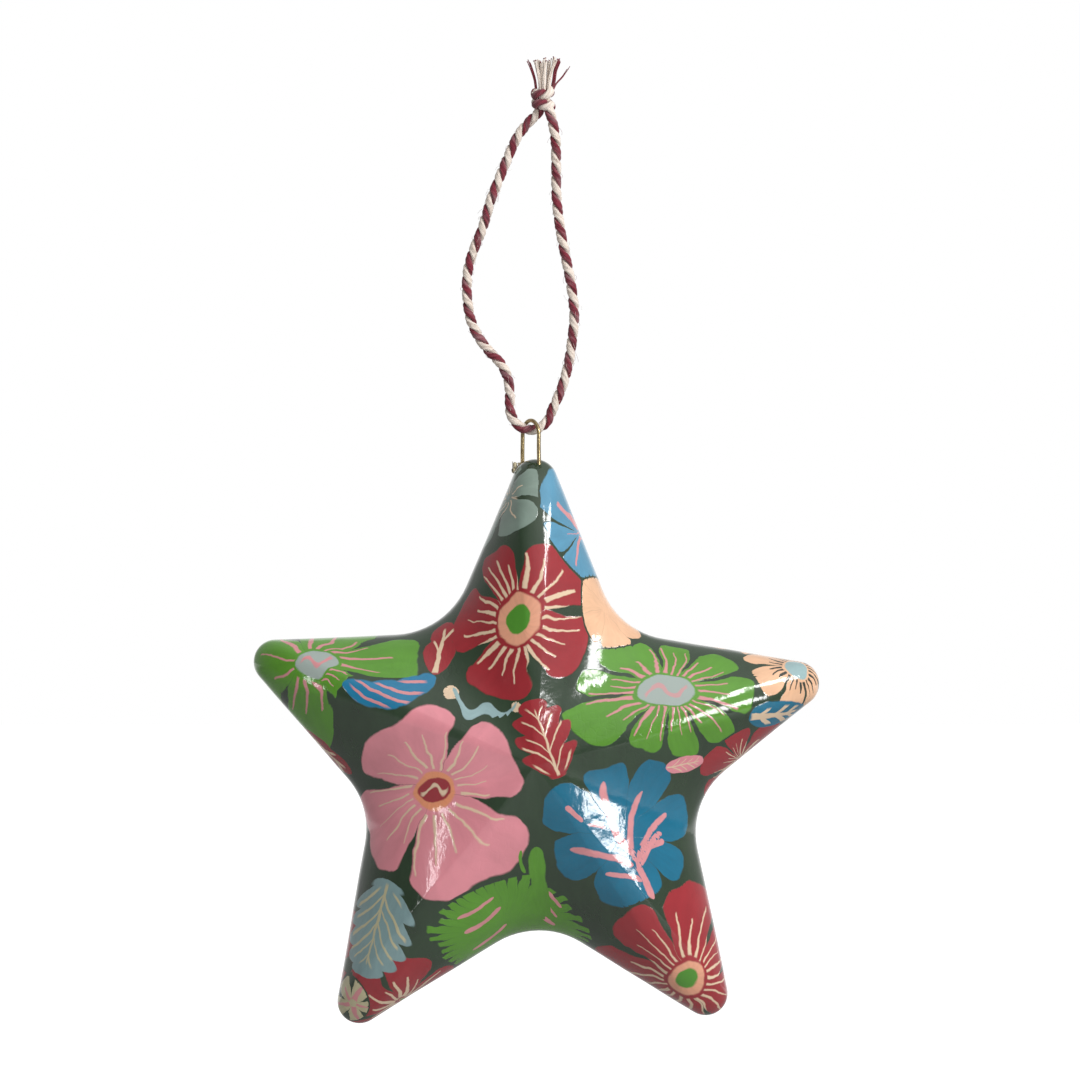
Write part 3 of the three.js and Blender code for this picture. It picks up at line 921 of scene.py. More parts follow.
def crown(outline, pole, side, rings):
    # rings from just beside the pole down to the rim, steep at the rim and round on top
    turns = np.linspace(math.pi / 2, 0, rings + 1)[1:, None, None]
    flat = np.cos(turns) ** starForm["crownPower"] * outline[None]
    depth = np.broadcast_to(side * pole * np.sin(turns), flat.shape[:2] + (1,))
    return np.concatenate([flat[..., :1], depth, flat[..., 1:]], axis=2) + starMiddle


def outerNormals(outer, side):
    around = np.roll(outer, -1, axis=1) - np.roll(outer, 1, axis=1)
    normals = np.cross(around, np.gradient(outer, axis=0))
    normals = normals * np.where(normals[..., 1:2] * side < 0, -1, 1)
    rim = around[-1]
    normals[-1] = np.stack([rim[:, 2], 0 * rim[:, 0], -rim[:, 0]], axis=1)
    return unit(normals)


def starSkin(side, name, materials):
    # one half of the star: its painted face down to the rim, then its inside back up to the pole
    outer = crown(starLine, starPole, side, starForm["outerRings"])
    swell = handPressed(outer.reshape(-1, 3)).reshape(outer.shape[:2] + (1,))
    outer = outer + outerNormals(outer, side) * swell * starForm["unevenMm"]
    insidePole = starPole - starForm["wall"]
    inner = crown(starOutline(starForm["wall"]), insidePole, side, starForm["innerRings"])[::-1]
    rings = np.concatenate([outer, inner])
    top = starMiddle + (0, side * starPole, 0)
    top = top + (0, side * handPressed(top[None])[0] * starForm["unevenMm"], 0)
    bottom = starMiddle + (0, side * insidePole, 0)
    points = np.concatenate([rings.reshape(-1, 3), [top, bottom]])
    count, last = len(starLine), (len(rings) - 1) * len(starLine)
    faces = [(len(points) - 2, (k + 1) % count, k) for k in range(count)] + ringFaces(len(rings), count)
    faces += [(len(points) - 1, last + k, last + (k + 1) % count) for k in range(count)]
    if side < 0:
        faces = [tuple(reversed(face)) for face in faces]
    painted = count * starForm["outerRings"]
    draft = MeshDraft()
    draft.add(points, faces, [0 if k < painted else 1 for k in range(len(faces))])
    return draft.build(name, materials, starForm["rimDegrees"])


# Painted flowers and leaves, in millimetres from the star's middle

paints = {name: fromScreen(*colour) for name, colour in {
    "ground": (35, 53, 34),
    "red": (150, 35, 43),
    "pink": (218, 138, 148),
    "leafGreen": (84, 142, 36),
    "blue": (5, 103, 133),
    "cobalt": (22, 118, 158),
    "skyBlue": (82, 142, 172),
    "paleBlue": (146, 174, 176),
    "greyBlue": (126, 154, 156),
    "greyGreen": (120, 138, 127),
    "greyCore": (156, 168, 162),
    "peach": (226, 180, 144),
    "ringPeach": (222, 158, 128),
    "orange": (226, 146, 104),
    "coreGreen": (74, 138, 38),
    "coreRed": (150, 34, 44),
    "cream": (220, 194, 164),
    "straw": (190, 182, 146),
    "rose": (208, 138, 142),
    "dark": (44, 50, 42),
}.items()}


def petalMarks(shapes):
    # where the gaps between petals of equal width would be, as near as they can come to the bloom's own gaps
    each = 2 * math.pi / len(shapes)
    starts = np.radians([start for start, reach in shapes])
    marks = (np.arange(len(shapes)) + 0.5) * each
    return starts, marks + each * round(np.mean(starts - marks) / each)


def petalLean(shapes):
    starts, marks = petalMarks(shapes)
    return np.mean(marks - starts)


# what a bloom has unless its own line says otherwise, as shares of its radius where it is a size
plainBloom = {
    "turn": 0.0,
    "stretch": 1.0,
    "valley": 0.34,    # how near to the middle the gaps between petals reach
    "notch": 0.0,
    "ring": 0.29,
    "core": 0.17,
    "mark": 0.0,       # how strong the scribble on the core is
    "perPetal": 4,     # strokes on each petal, with how far they reach and how wide they are
    "reach": 0.4,
    "width": 0.026,
    "gap": 0.01,
}
markedFlatness = 0.6   # a core with a scribble is flatter than a round one


def bloom(at, radius, petals, colours, **own):
    # petals is how many, or each one's starting bearing in degrees with how far it reaches
    # colours are the petals', the ring's, the core's and the strokes', or one for all of them
    shapes = petals if isinstance(petals, tuple) else ()
    motif = {**plainBloom, "at": at, "radius": radius, "shapes": shapes, **own}
    motif["petals"] = len(shapes) or petals
    motif["colours"] = colours if isinstance(colours, tuple) else (colours,) * 4
    motif["lean"] = petalLean(shapes) if shapes else 0.0
    motif["flat"] = markedFlatness * motif["mark"]
    return motif


# the same for a leaf, as shares of its length; a midrib of -1 makes the veins single slanting strokes
plainLeaf = {
    "lobes": 1.0,
    "lobeDepth": 0.0,
    "veins": 6,
    "veinWidth": 0.018,
    "midrib": 1.0,
    "bend": 0.0,
    "wave": 0.0,
    "brush": False,
}


def leaf(base, tip, halfWidth, colours, **own):
    # colours are the leaf's and its veins'
    return {**plainLeaf, "base": base, "tip": tip, "halfWidth": halfWidth, "colours": colours, **own}


def stroke(base, tip, halfWidth, colour, bend=0.0):
    # one touch of the brush
    colours = (colour, colour)
    return leaf(base, tip, halfWidth + 0.012, colours, lobeDepth=-0.9, veinWidth=0, bend=bend, brush=True)


redBloom = ("red", "ringPeach", "coreGreen", "cream")
pinkBloom = ("pink", "orange", "coreRed", "cream")
greenBloom = ("leafGreen", "greyCore", "greyCore", "rose")

frontBlooms = [
    bloom((-2.7, 22.8), 13.4, ((20, 1.14), (93, 1.08), (138, 0.9), (218, 0.96), (295, 0.98)), redBloom,
          perPetal=5, reach=0.46, width=0.02, gap=0.016),
    bloom((-15.8, -4.2), 17.8, ((62, 0.88), (177, 1.02), (248, 1.1), (348, 0.9)), pinkBloom, notch=0.08,
          ring=0.21, core=0.165, mark=1, perPetal=5, reach=0.46, width=0.0105, gap=0.018),
    bloom((21.0, 12.0), 14.6, ((21, 1.02), (67, 1.0), (100, 0.98), (156, 1.0), (191, 1.2), (236, 1.12),
                               (266, 1.1), (294, 1.06), (329, 1.1)),
          greenBloom, stretch=0.68, ring=0.3, core=0.3, mark=0.7, perPetal=3, reach=0.5, width=0.016,
          gap=0.007),
    bloom((-34.9, 16.3), 14.6, ((-60, 0.2), (-17, 1.16), (30, 1.0), (125, 1.0), (205, 1.02)), greenBloom,
          ring=0.22, core=0.22, mark=1, perPetal=3, reach=0.46, width=0.016, gap=0.012),
    bloom((24.2, -34.1), 15.8, ((47, 1.0), (110, 1.0), (161, 1.0), (235, 1.0), (300, 1.0), (355, 0.8)),
          redBloom, ring=0.185, core=0.105, reach=0.64, width=0.012),
    bloom((13.6, -11.0), 12.6, ((-9, 1.02), (41, 1.02), (82, 0.98), (131, 1.06), (178, 0.9), (235, 0.96),
                               (313, 1.12)),
          "blue", valley=0.6, ring=0.1, core=0.05, perPetal=1, width=0.0, gap=0.008),
    bloom((-4.2, -25.8), 13.6, 38, "leafGreen", turn=3, stretch=0.76, valley=0.76, ring=0.1, core=0.05,
          perPetal=1, width=0.001, gap=0.0055),
    bloom((7.6, 38.8), 9.6, ((30, 1.0), (98, 1.26), (156, 1.04), (232, 1.1), (300, 1.0)),
          ("skyBlue", "skyBlue", "skyBlue", "rose"), ring=0.05, core=0.04, valley=0.2, perPetal=1, reach=0.75,
          width=0.04),
    bloom((-4.2, 42.4), 7.4, ((10, 0.84), (88, 0.9), (168, 1.0), (212, 1.35), (262, 1.04)),
          ("greyGreen", "greyGreen", "greyBlue", "cream"), valley=0.2, ring=0.08, core=0.04, perPetal=2,
          reach=0.6, width=0.014, gap=0.016),
    bloom((11.4, 24.6), 7.6, 7, "peach", valley=0.8, ring=0.1, core=0.05, perPetal=1),
    bloom((-13.3, 11.4), 1.3, 3, "cream", valley=0.9, perPetal=1, width=0.0),
    bloom((-2.9, 9.2), 0.9, 3, "cream", valley=0.9, perPetal=1, width=0.0),
    bloom((41.8, 15.4), 8.8, 6, ("peach", "paleBlue", "paleBlue", "dark"), turn=12, ring=0.24, core=0.2,
          reach=0.36, width=0.022),
    bloom((33.4, 0.6), 8.8, 5, redBloom, turn=100, ring=0.1, core=0.06, reach=0.6, width=0.022),
    bloom((-21.2, -37.8), 10.6, 5, redBloom, turn=60, ring=0.06, core=0.04, perPetal=3, reach=0.7),
    bloom((-29.1, -38.2), 5.0, 5, ("straw", "straw", "straw", "rose"), turn=50, valley=0.2, ring=0.1,
          core=0.06, perPetal=1, reach=0.7, width=0.07, gap=0.03),
]

frontLeaves = [
    # the branches on the blue flower
    stroke((18.9, -21.4), (15.2, -13.4), 0.062, "rose"),
    stroke((15.7, -14.6), (10.8, -2.6), 0.045, "rose", 0.1),
    stroke((15.3, -14.0), (16.9, -4.2), 0.045, "rose", 0.1),
    stroke((16.2, -15.6), (20.9, -7.9), 0.05, "rose", 0.08),
    stroke((16.6, -16.2), (20.1, -10.8), 0.085, "rose", 0.08),
    stroke((16.9, -13.2), (20.6, -12.2), 0.12, "rose"),
    stroke((16.0, -16.0), (5.7, -13.6), 0.05, "rose", -0.05),
    stroke((4.9, -6.5), (7.6, -8.9), 0.1, "rose"),
    stroke((8.4, -9.4), (11.2, -9.9), 0.07, "rose"),
    stroke((17.4, -18.4), (11.3, -17.4), 0.06, "rose", -0.05),
    # the fringed leaf's stalk and its marks
    stroke((1.2, -24.0), (0.1, -13.4), 0.1, "leafGreen"),
    stroke((-1.5, -17.2), (-2.2, -13.6), 0.07, "leafGreen", 0.1),
    stroke((-12.3, -24.5), (-6.4, -21.0), 0.04, "rose", -0.05),
    stroke((-11.2, -26.9), (-5.4, -22.6), 0.05, "rose", -0.06),
    stroke((-9.9, -29.8), (-4.5, -25.5), 0.045, "rose", -0.05),
    stroke((0.6, -23.0), (3.2, -25.9), 0.09, "rose", -0.08),
    stroke((1.9, -22.4), (3.5, -24.5), 0.07, "rose"),
    stroke((2.0, -20.2), (4.2, -22.9), 0.07, "rose"),
    leaf((-30.6, 12.8), (-15.6, 14.0), 0.18, ("cobalt", "rose"), lobes=4, lobeDepth=0.1, veins=4, midrib=-1,
         veinWidth=0.026, bend=-0.16),
    leaf((-23.2, -18.6), (-27.4, -33.8), 0.44, ("greyBlue", "straw"), lobes=5, lobeDepth=0.3,
         veinWidth=0.014),
    leaf((3.8, -1.9), (-0.6, 10.4), 0.38, ("red", "cream"), lobes=4, lobeDepth=0.42, veins=5,
         veinWidth=0.013),
    leaf((-13.3, 11.2), (-2.8, 9.3), 0.1, ("paleBlue", "peach"), veinWidth=0.0, midrib=0, bend=-0.2,
         wave=0.09),
    leaf((-37.8, 5.8), (-29.0, -1.8), 0.2, ("red", "cream"), lobes=2, lobeDepth=0.15, veins=1,
         veinWidth=0.03),
    leaf((-16.0, 14.4), (-14.0, 22.6), 0.27, ("red", "cream"), lobes=2, lobeDepth=0.3, veins=1,
         veinWidth=0.028),
    leaf((34.4, 6.8), (43.2, 8.8), 0.24, ("blue", "cream"), veins=4, veinWidth=0.04),
    leaf((20.8, -0.6), (26.9, 0.6), 0.24, ("pink", "cream"), veins=5, veinWidth=0.014),
]

backBlooms = [
    bloom((3.0, 18.5), 14.0, 4, pinkBloom, turn=40, notch=0.1, ring=0.24, core=0.19, mark=1, reach=0.46,
          width=0.015),
    bloom((18.4, -6.5), 12.0, 5, redBloom, turn=12, perPetal=5, width=0.022),
    bloom((-14.5, 1.5), 14.0, 9, greenBloom, turn=8, stretch=0.85, ring=0.27, core=0.27, mark=1, perPetal=3,
          reach=0.34, width=0.018),
    bloom((-35.0, 16.0), 13.0, 5, ("blue", "skyBlue", "peach", "rose"), turn=-20, notch=0.06, ring=0.18,
          core=0.14, perPetal=2, reach=0.5, width=0.024),
    bloom((34.0, 11.5), 12.6, 6, ("peach", "paleBlue", "paleBlue", "dark"), turn=5, ring=0.22, core=0.18,
          reach=0.34, width=0.018),
    bloom((23.5, -33.0), 13.0, 4, greenBloom, turn=40, ring=0.22, core=0.2, mark=1, width=0.018),
    bloom((-24.5, -31.5), 14.0, 6, redBloom, turn=18, ring=0.2, core=0.12, reach=0.5, width=0.016),
    bloom((-1.0, 40.0), 8.8, 5, ("greyGreen", "peach", "coreRed", "cream"), turn=15, ring=0.2, core=0.1,
          perPetal=3, reach=0.5, width=0.02),
]

backLeaves = [
    leaf((-4.0, -8.0), (5.0, -25.0), 0.42, ("blue", "rose"), lobes=5, lobeDepth=0.26, veins=4,
         veinWidth=0.024),
    leaf((-9.6, -14.0), (-9.5, -27.0), 0.3, ("leafGreen", "rose"), lobes=9, lobeDepth=0.4, veins=3, midrib=0),
    leaf((7.0, 3.4), (18.5, 9.0), 0.26, ("greyBlue", "cream"), lobes=5, lobeDepth=0.3),
    leaf((-12.0, 16.4), (-24.0, 21.0), 0.24, ("red", "cream"), lobes=4, lobeDepth=0.4, veins=5,
         veinWidth=0.02),
    leaf((-27.0, 1.5), (-20.5, -11.5), 0.24, ("paleBlue", "cream"), lobes=4, lobeDepth=0.2, veins=5),
    leaf((22.6, 7.6), (25.2, -0.6), 0.3, ("pink", "cream"), veins=5, veinWidth=0.02),
    leaf((-30.8, -21.6), (-20.0, -16.2), 0.2, ("leafGreen", "cream"), lobes=3, lobeDepth=0.2, veins=5),
    leaf((6.6, 29.0), (4.4, 36.6), 0.3, ("blue", "rose"), lobes=3, lobeDepth=0.2, veins=4),
    leaf((-8.4, 28.0), (-6.6, 35.8), 0.3, ("red", "cream"), lobes=3, lobeDepth=0.3, veins=4),
]

# Laying the flowers and leaves on the star
# a motif's seat is its middle, its own two ways on the surface, their unit lengths, and its outward way

petalShape = {
    "held": (0.2, 0.8),     # the part of a petal's share over which it keeps its own reach
    "fullReach": 0.6,       # from here outwards, as a share of the radius, a petal's reach counts in full
    "middleEdge": 0.34,     # the ring and core keep their own shape, which fades out up to here
    "middleFade": 0.14,
}

leafWave = {"rate": 12, "start": 1.1}   # of a leaf's wavy middle line, from its base

choosing = {
    "leafHalf": 0.55,       # half of the room that a leaf takes along it, as a share of its length
    "leafWidening": 1.1,
    "leafMargin": 0.08,
    "strokeMargin": 0.45,   # mm round a brush stroke that belong to it before anything else
    "behindMm": 14,         # how far behind a motif's middle it still reaches
    "outOfReach": 50,       # is added to the gap of a face that a motif can't reach
    "noMotif": 9,           # a place so far off that nothing is painted there
}


def bloomSeat(motif, side):
    normal = surfaceNormal(motif["at"], side)
    right = unit(np.cross((0, 0, 1), normal))
    over = np.cross(normal, right)
    lengths = (motif["radius"], motif["radius"] * motif["stretch"])
    if motif["stretch"] != 1:
        return surfacePoint(motif["at"], side), right, over, lengths, normal
    turn = math.radians(motif["turn"])
    along = right * math.cos(turn) + over * math.sin(turn)
    return surfacePoint(motif["at"], side), along, np.cross(normal, along), lengths, normal


def leafSeat(motif, side):
    base, tip = surfacePoint(motif["base"], side), surfacePoint(motif["tip"], side)
    half = [(a + b) / 2 for a, b in zip(motif["base"], motif["tip"])]
    normal = surfaceNormal(half, side)
    along = unit(tip - base - normal * np.dot(tip - base, normal))
    length = np.linalg.norm(tip - base)
    return surfacePoint(half, side), along, np.cross(normal, along), (length, length), normal


def layOut(points, seat, most):
    # flat coordinates of surface points round a motif's middle, kept true to their distance from it
    centre, along, over, lengths, normal = seat
    gap = points - centre
    flat = np.stack([gap @ along, gap @ over], axis=1)
    stretch = np.linalg.norm(gap, axis=1) / np.maximum(np.hypot(flat[:, 0], flat[:, 1]), tiny)
    return flat * np.minimum(stretch, most)[:, None] / lengths


def petalPlace(motif, flat):
    # turned, and opened or closed like a hand fan so that every petal gets its own share of the round
    turn = math.radians(motif["turn"])
    if motif["stretch"] != 1 and turn:
        flat = flat @ np.array(((math.cos(turn), -math.sin(turn)), (math.sin(turn), math.cos(turn))))
    if not motif["shapes"]:
        return flat
    starts, marks = petalMarks(motif["shapes"])
    away = np.hypot(flat[:, 0], flat[:, 1])
    seen = np.arctan2(flat[:, 1], flat[:, 0])
    rounds = np.array((-1, 0, 1))[:, None] * 2 * math.pi
    moved = np.interp(seen, (starts + rounds).ravel(), (marks + rounds).ravel())
    # a petal keeps its own reach over the middle of its share, and runs into the next one's at the sides
    each = 2 * math.pi / len(marks)
    reaches = [reach for start, reach in motif["shapes"]]
    held = np.concatenate([marks + each * share for share in petalShape["held"]])
    reach = np.interp(moved, held, reaches * 2, period=2 * math.pi)
    away = away / (1 + (reach - 1) * np.clip(away / petalShape["fullReach"], 0, 1))
    middle = np.clip((petalShape["middleEdge"] - away) / petalShape["middleFade"], 0, 1)
    bearings = moved + (seen + motif["lean"] - moved) * middle
    return np.stack([away * np.cos(bearings), away * np.sin(bearings)], axis=1)


def leafPlace(motif, flat):
    # measured from the leaf's base
    return flat + (0.5, 0)


def bloomGap(motif, flat, length):
    # how far each spot is from the bloom's middle, as a share of its size
    flat = petalPlace(motif, flat)
    return np.hypot(flat[:, 0], flat[:, 1])


def leafGap(motif, flat, length):
    # the same for a leaf, while a brush stroke wins each spot it touches
    if not motif["brush"]:
        halfWidth = motif["halfWidth"] * choosing["leafWidening"] + choosing["leafMargin"]
        flat = flat / (choosing["leafHalf"], halfWidth)
        return np.hypot(flat[:, 0], flat[:, 1])
    along = np.clip(flat[:, 0], -0.5, 0.5)
    middle = motif["wave"] * np.sin((along + 0.5) * leafWave["rate"] + leafWave["start"])
    middle = middle + motif["bend"] * (1 - 4 * along * along)
    gap = (np.hypot(flat[:, 0] - along, flat[:, 1] - middle) - motif["halfWidth"]) * length
    return np.where(gap < choosing["strokeMargin"], gap * 0.01 - 1, gap * 0.1 + 1.5)


# mostStretch is how much further round the surface a spot may count than it looks from straight ahead
# facing is how far a face may turn from the motif's outward way: blooms run round the rim, leaves don't
# values and colours name the paint groups' sockets, and for the values what their parts hold
motifKinds = {
    "bloom": {
        "motifs": ((-1, frontBlooms), (1, backBlooms)),
        "seat": bloomSeat,
        "place": petalPlace,
        "gap": bloomGap,
        "mostStretch": 1e6,
        "facing": -2.0,
        "values": {
            "Petals": ("petals", "valley", "notch"),
            "Middle": ("ring", "core", "mark"),
            "Strokes": ("perPetal", "reach", "width"),
            "Lean": ("lean", "flat", "gap"),
        },
        "colours": ("Petal Colour", "Ring Colour", "Core Colour", "Stroke Colour"),
    },
    "leaf": {
        "motifs": ((-1, frontLeaves), (1, backLeaves)),
        "seat": leafSeat,
        "place": leafPlace,
        "gap": leafGap,
        "mostStretch": 1.7,
        "facing": 0.3,
        "values": {
            "Outline": ("halfWidth", "lobes", "lobeDepth"),
            "Veins": ("veins", "veinWidth", "midrib"),
            "Sweep": ("bend", "wave"),
        },
        "colours": ("Leaf Colour", "Vein Colour"),
    },
}


def readMesh(mesh):
    corners = np.empty(len(mesh.loops), dtype=np.int32)
    mesh.loops.foreach_get("vertex_index", corners)
    totals = np.empty(len(mesh.polygons), dtype=np.int32)
    mesh.polygons.foreach_get("loop_total", totals)
    spots = []
    for source, key in ((mesh.vertices, "co"), (mesh.polygons, "center"), (mesh.polygons, "normal")):
        values = np.empty(len(source) * 3)
        source.foreach_get(key, values)
        spots.append(values.reshape(-1, 3))
    points, middles, normals = spots
    return corners, np.repeat(np.arange(len(totals)), totals), points / mm, middles / mm, normals


def store(mesh, name, values):
    # a value of three parts, or a colour of four, for every corner of the mesh
    kind, key = ("FLOAT_COLOR", "color") if values.shape[1] == 4 else ("FLOAT_VECTOR", "vector")
    layer = mesh.attributes.new(name, kind, "CORNER")
    layer.data.foreach_set(key, values.astype(np.float32).ravel())


def motifGaps(kind, placed, spots):
    return np.array([
        kind["gap"](motif, layOut(spots, seat, kind["mostStretch"]), seat[3][0])
        for motif, seat in placed
    ])


def paintSkin(mesh):
    # every face gets the bloom and the leaf nearest to it, as values that the paint groups read
    corners, cornerFace, points, middles, normals = readMesh(mesh)
    for label, kind in motifKinds.items():
        placed = [(motif, kind["seat"](motif, side)) for side, motifs in kind["motifs"] for motif in motifs]
        # faces that look the other way, or lie far behind the motif's own spot, are out of its reach
        farSide = np.array([
            (normals @ seat[-1] < kind["facing"]) | ((middles - seat[0]) @ seat[-1] < -choosing["behindMm"])
            for motif, seat in placed
        ]) * choosing["outOfReach"]
        away = motifGaps(kind, placed, middles) + farSide
        nearest = np.argmin(away, axis=0)[cornerFace]
        place = np.empty((len(corners), 3))
        for index, (motif, seat) in enumerate(placed):
            mine = nearest == index
            place[mine, :2] = kind["place"](motif, layOut(points[corners[mine]], seat, kind["mostStretch"]))
            place[mine, 2] = index + 1
        place[np.min(away, axis=0)[cornerFace] > choosing["outOfReach"] * 0.8, :2] = choosing["noMotif"]
        store(mesh, label + "Place", place)
        if label == "bloom":
            # how much nearer a spot is to its own bloom than to the next one
            reached = motifGaps(kind, placed, points)[:, corners] + farSide[:, cornerFace]
            own = reached[nearest, np.arange(len(corners))]
            reached[nearest, np.arange(len(corners))] = 2 * choosing["outOfReach"]
            room = np.clip(np.min(reached, axis=0) - own, -1, 1)
            store(mesh, "bloomRoom", np.stack([room, room, room], axis=1))
        for name, keys in kind["values"].items():
            table = np.zeros((len(placed), 3))
            table[:, :len(keys)] = [[motif[key] for key in keys] for motif, seat in placed]
            store(mesh, label + name, table[nearest])
        for order, name in enumerate(kind["colours"]):
            colours = np.array([paints[motif["colours"][order]] for motif, seat in placed])
            store(mesh, label + name.replace(" ", ""), colours[nearest])


# Brushwork: the node groups that paint a bloom and a leaf

brushwork = {
    # errors of the hand, slow and fast: how often, how ragged, how far each way, and their own seed
    "bloomErrors": ((2.4, 1.5, (0.17, 0.17), 3.7), (11, 2, (0.03, 0.03), 1.9)),
    "leafErrors": ((3.2, 1.5, (0.1, 0.08), 2.3), (14, 2, (0.02, 0.02), 1.3)),
    "softEdge": 0.012,
    "softLine": 0.007,
    "strip": 0.03,         # of ground, left where two blooms meet
    "leastWidth": 0.003,   # no stroke or vein is drawn that is thinner
    # how dark the paint is at least, and how much its brush streaks and washes lighten it
    "tone": (0.72, 0.28, 0.3),
    "ringTone": (0.85, 0.3),
    "petalCorner": 5,      # the higher, the squarer a petal's corners
    "leastValley": 0.62,
    "notchSharpness": 9,
    "wedgeSlope": 0.07,
    "strokeBend": (3.4, 6, 0.06),    # waves over the radius, how chance shifts them, and their size
    "strokeTaper": (1.15, 0.6),
    # waves over the core, then their height, the line's width and its half length as shares of the core
    "scribble": (5.2, 0.26, 0.12, 0.75),
    "coreFlatness": 2.2,   # times as flat as the ring
    "petalDrift": (2.1, 0.008),      # how a bloom's seed shifts its petals' uneven widths, and their size
    "leafRoundness": 0.45,
    "lobeLean": 0.55,
    "veinSlant": (0.65, 0.8),        # of veins on a midrib: the power of their curve, and how far they lean
    "loneSlant": (0.75, 3.6),        # of veins without one, and how much a midrib of -1 turns them round
    "acrossVein": 0.8,               # the way straight across a slanting vein, as a share of that along
    "veinedPart": (0.1, 0.88),       # the part of a leaf's length that veins grow on, then the midrib's
    "midribPart": (0.04, 0.86),
    "midribTaper": 1.5,
    # how the streaks repeat each way, with their scale, and the washes' own seed with theirs
    "petalStreaks": (4, 1.4, 2.2),
    "petalWashes": (5.3, 2.1),
    "leafStreaks": (2, 7, 3),
    "leafWashes": (4.1, 2.6),
    # the least of each, and how much chance adds to it at most
    "petalReach": (0.88, 0.18),
    "valleyDepth": (0, 0.08),
    "strokeStart": (0.02, 0.04),
    "strokeLength": (0.55, 0.45),
    "strokeWidth": (0.6, 0.7),
    "veinLength": (0.5, 0.35),
    "veinWidth": (0.7, 0.5),
    "veinShift": (0.35, 0.3),
}
paintOutputs = {"Color": ("Colour",), "Float": ("Cover", "Relief")}


def startPaintGroup(name, label, extra=()):
    kind = motifKinds[label]
    inputs = {"Vector": ("Place", *kind["values"]), "Float": extra, "Color": kind["colours"]}
    return startGroup(name, inputs, paintOutputs)


def handDrawn(sheet, first, second, seed, errors):
    # a brush never goes quite where it is meant to; the last error's third part is given back as well
    moved = [first, second]
    for scale, detail, reach, ownSeed in errors:
        error = sheet.split(sheet.noise(sheet.combine(first, second, seed * ownSeed), scale, detail, "Color"))
        moved = [value + (part - 0.5) * far for value, part, far in zip(moved, error, reach)]
    return *moved, error[2]


def varied(luck, name):
    least, extra = brushwork[name]
    return least + luck * extra


def brushedPaint(sheet, colour, streaks, washes):
    least, streakShare, washShare = brushwork["tone"]
    return sheet.toned(colour, least + streaks * streakShare + washes * washShare)


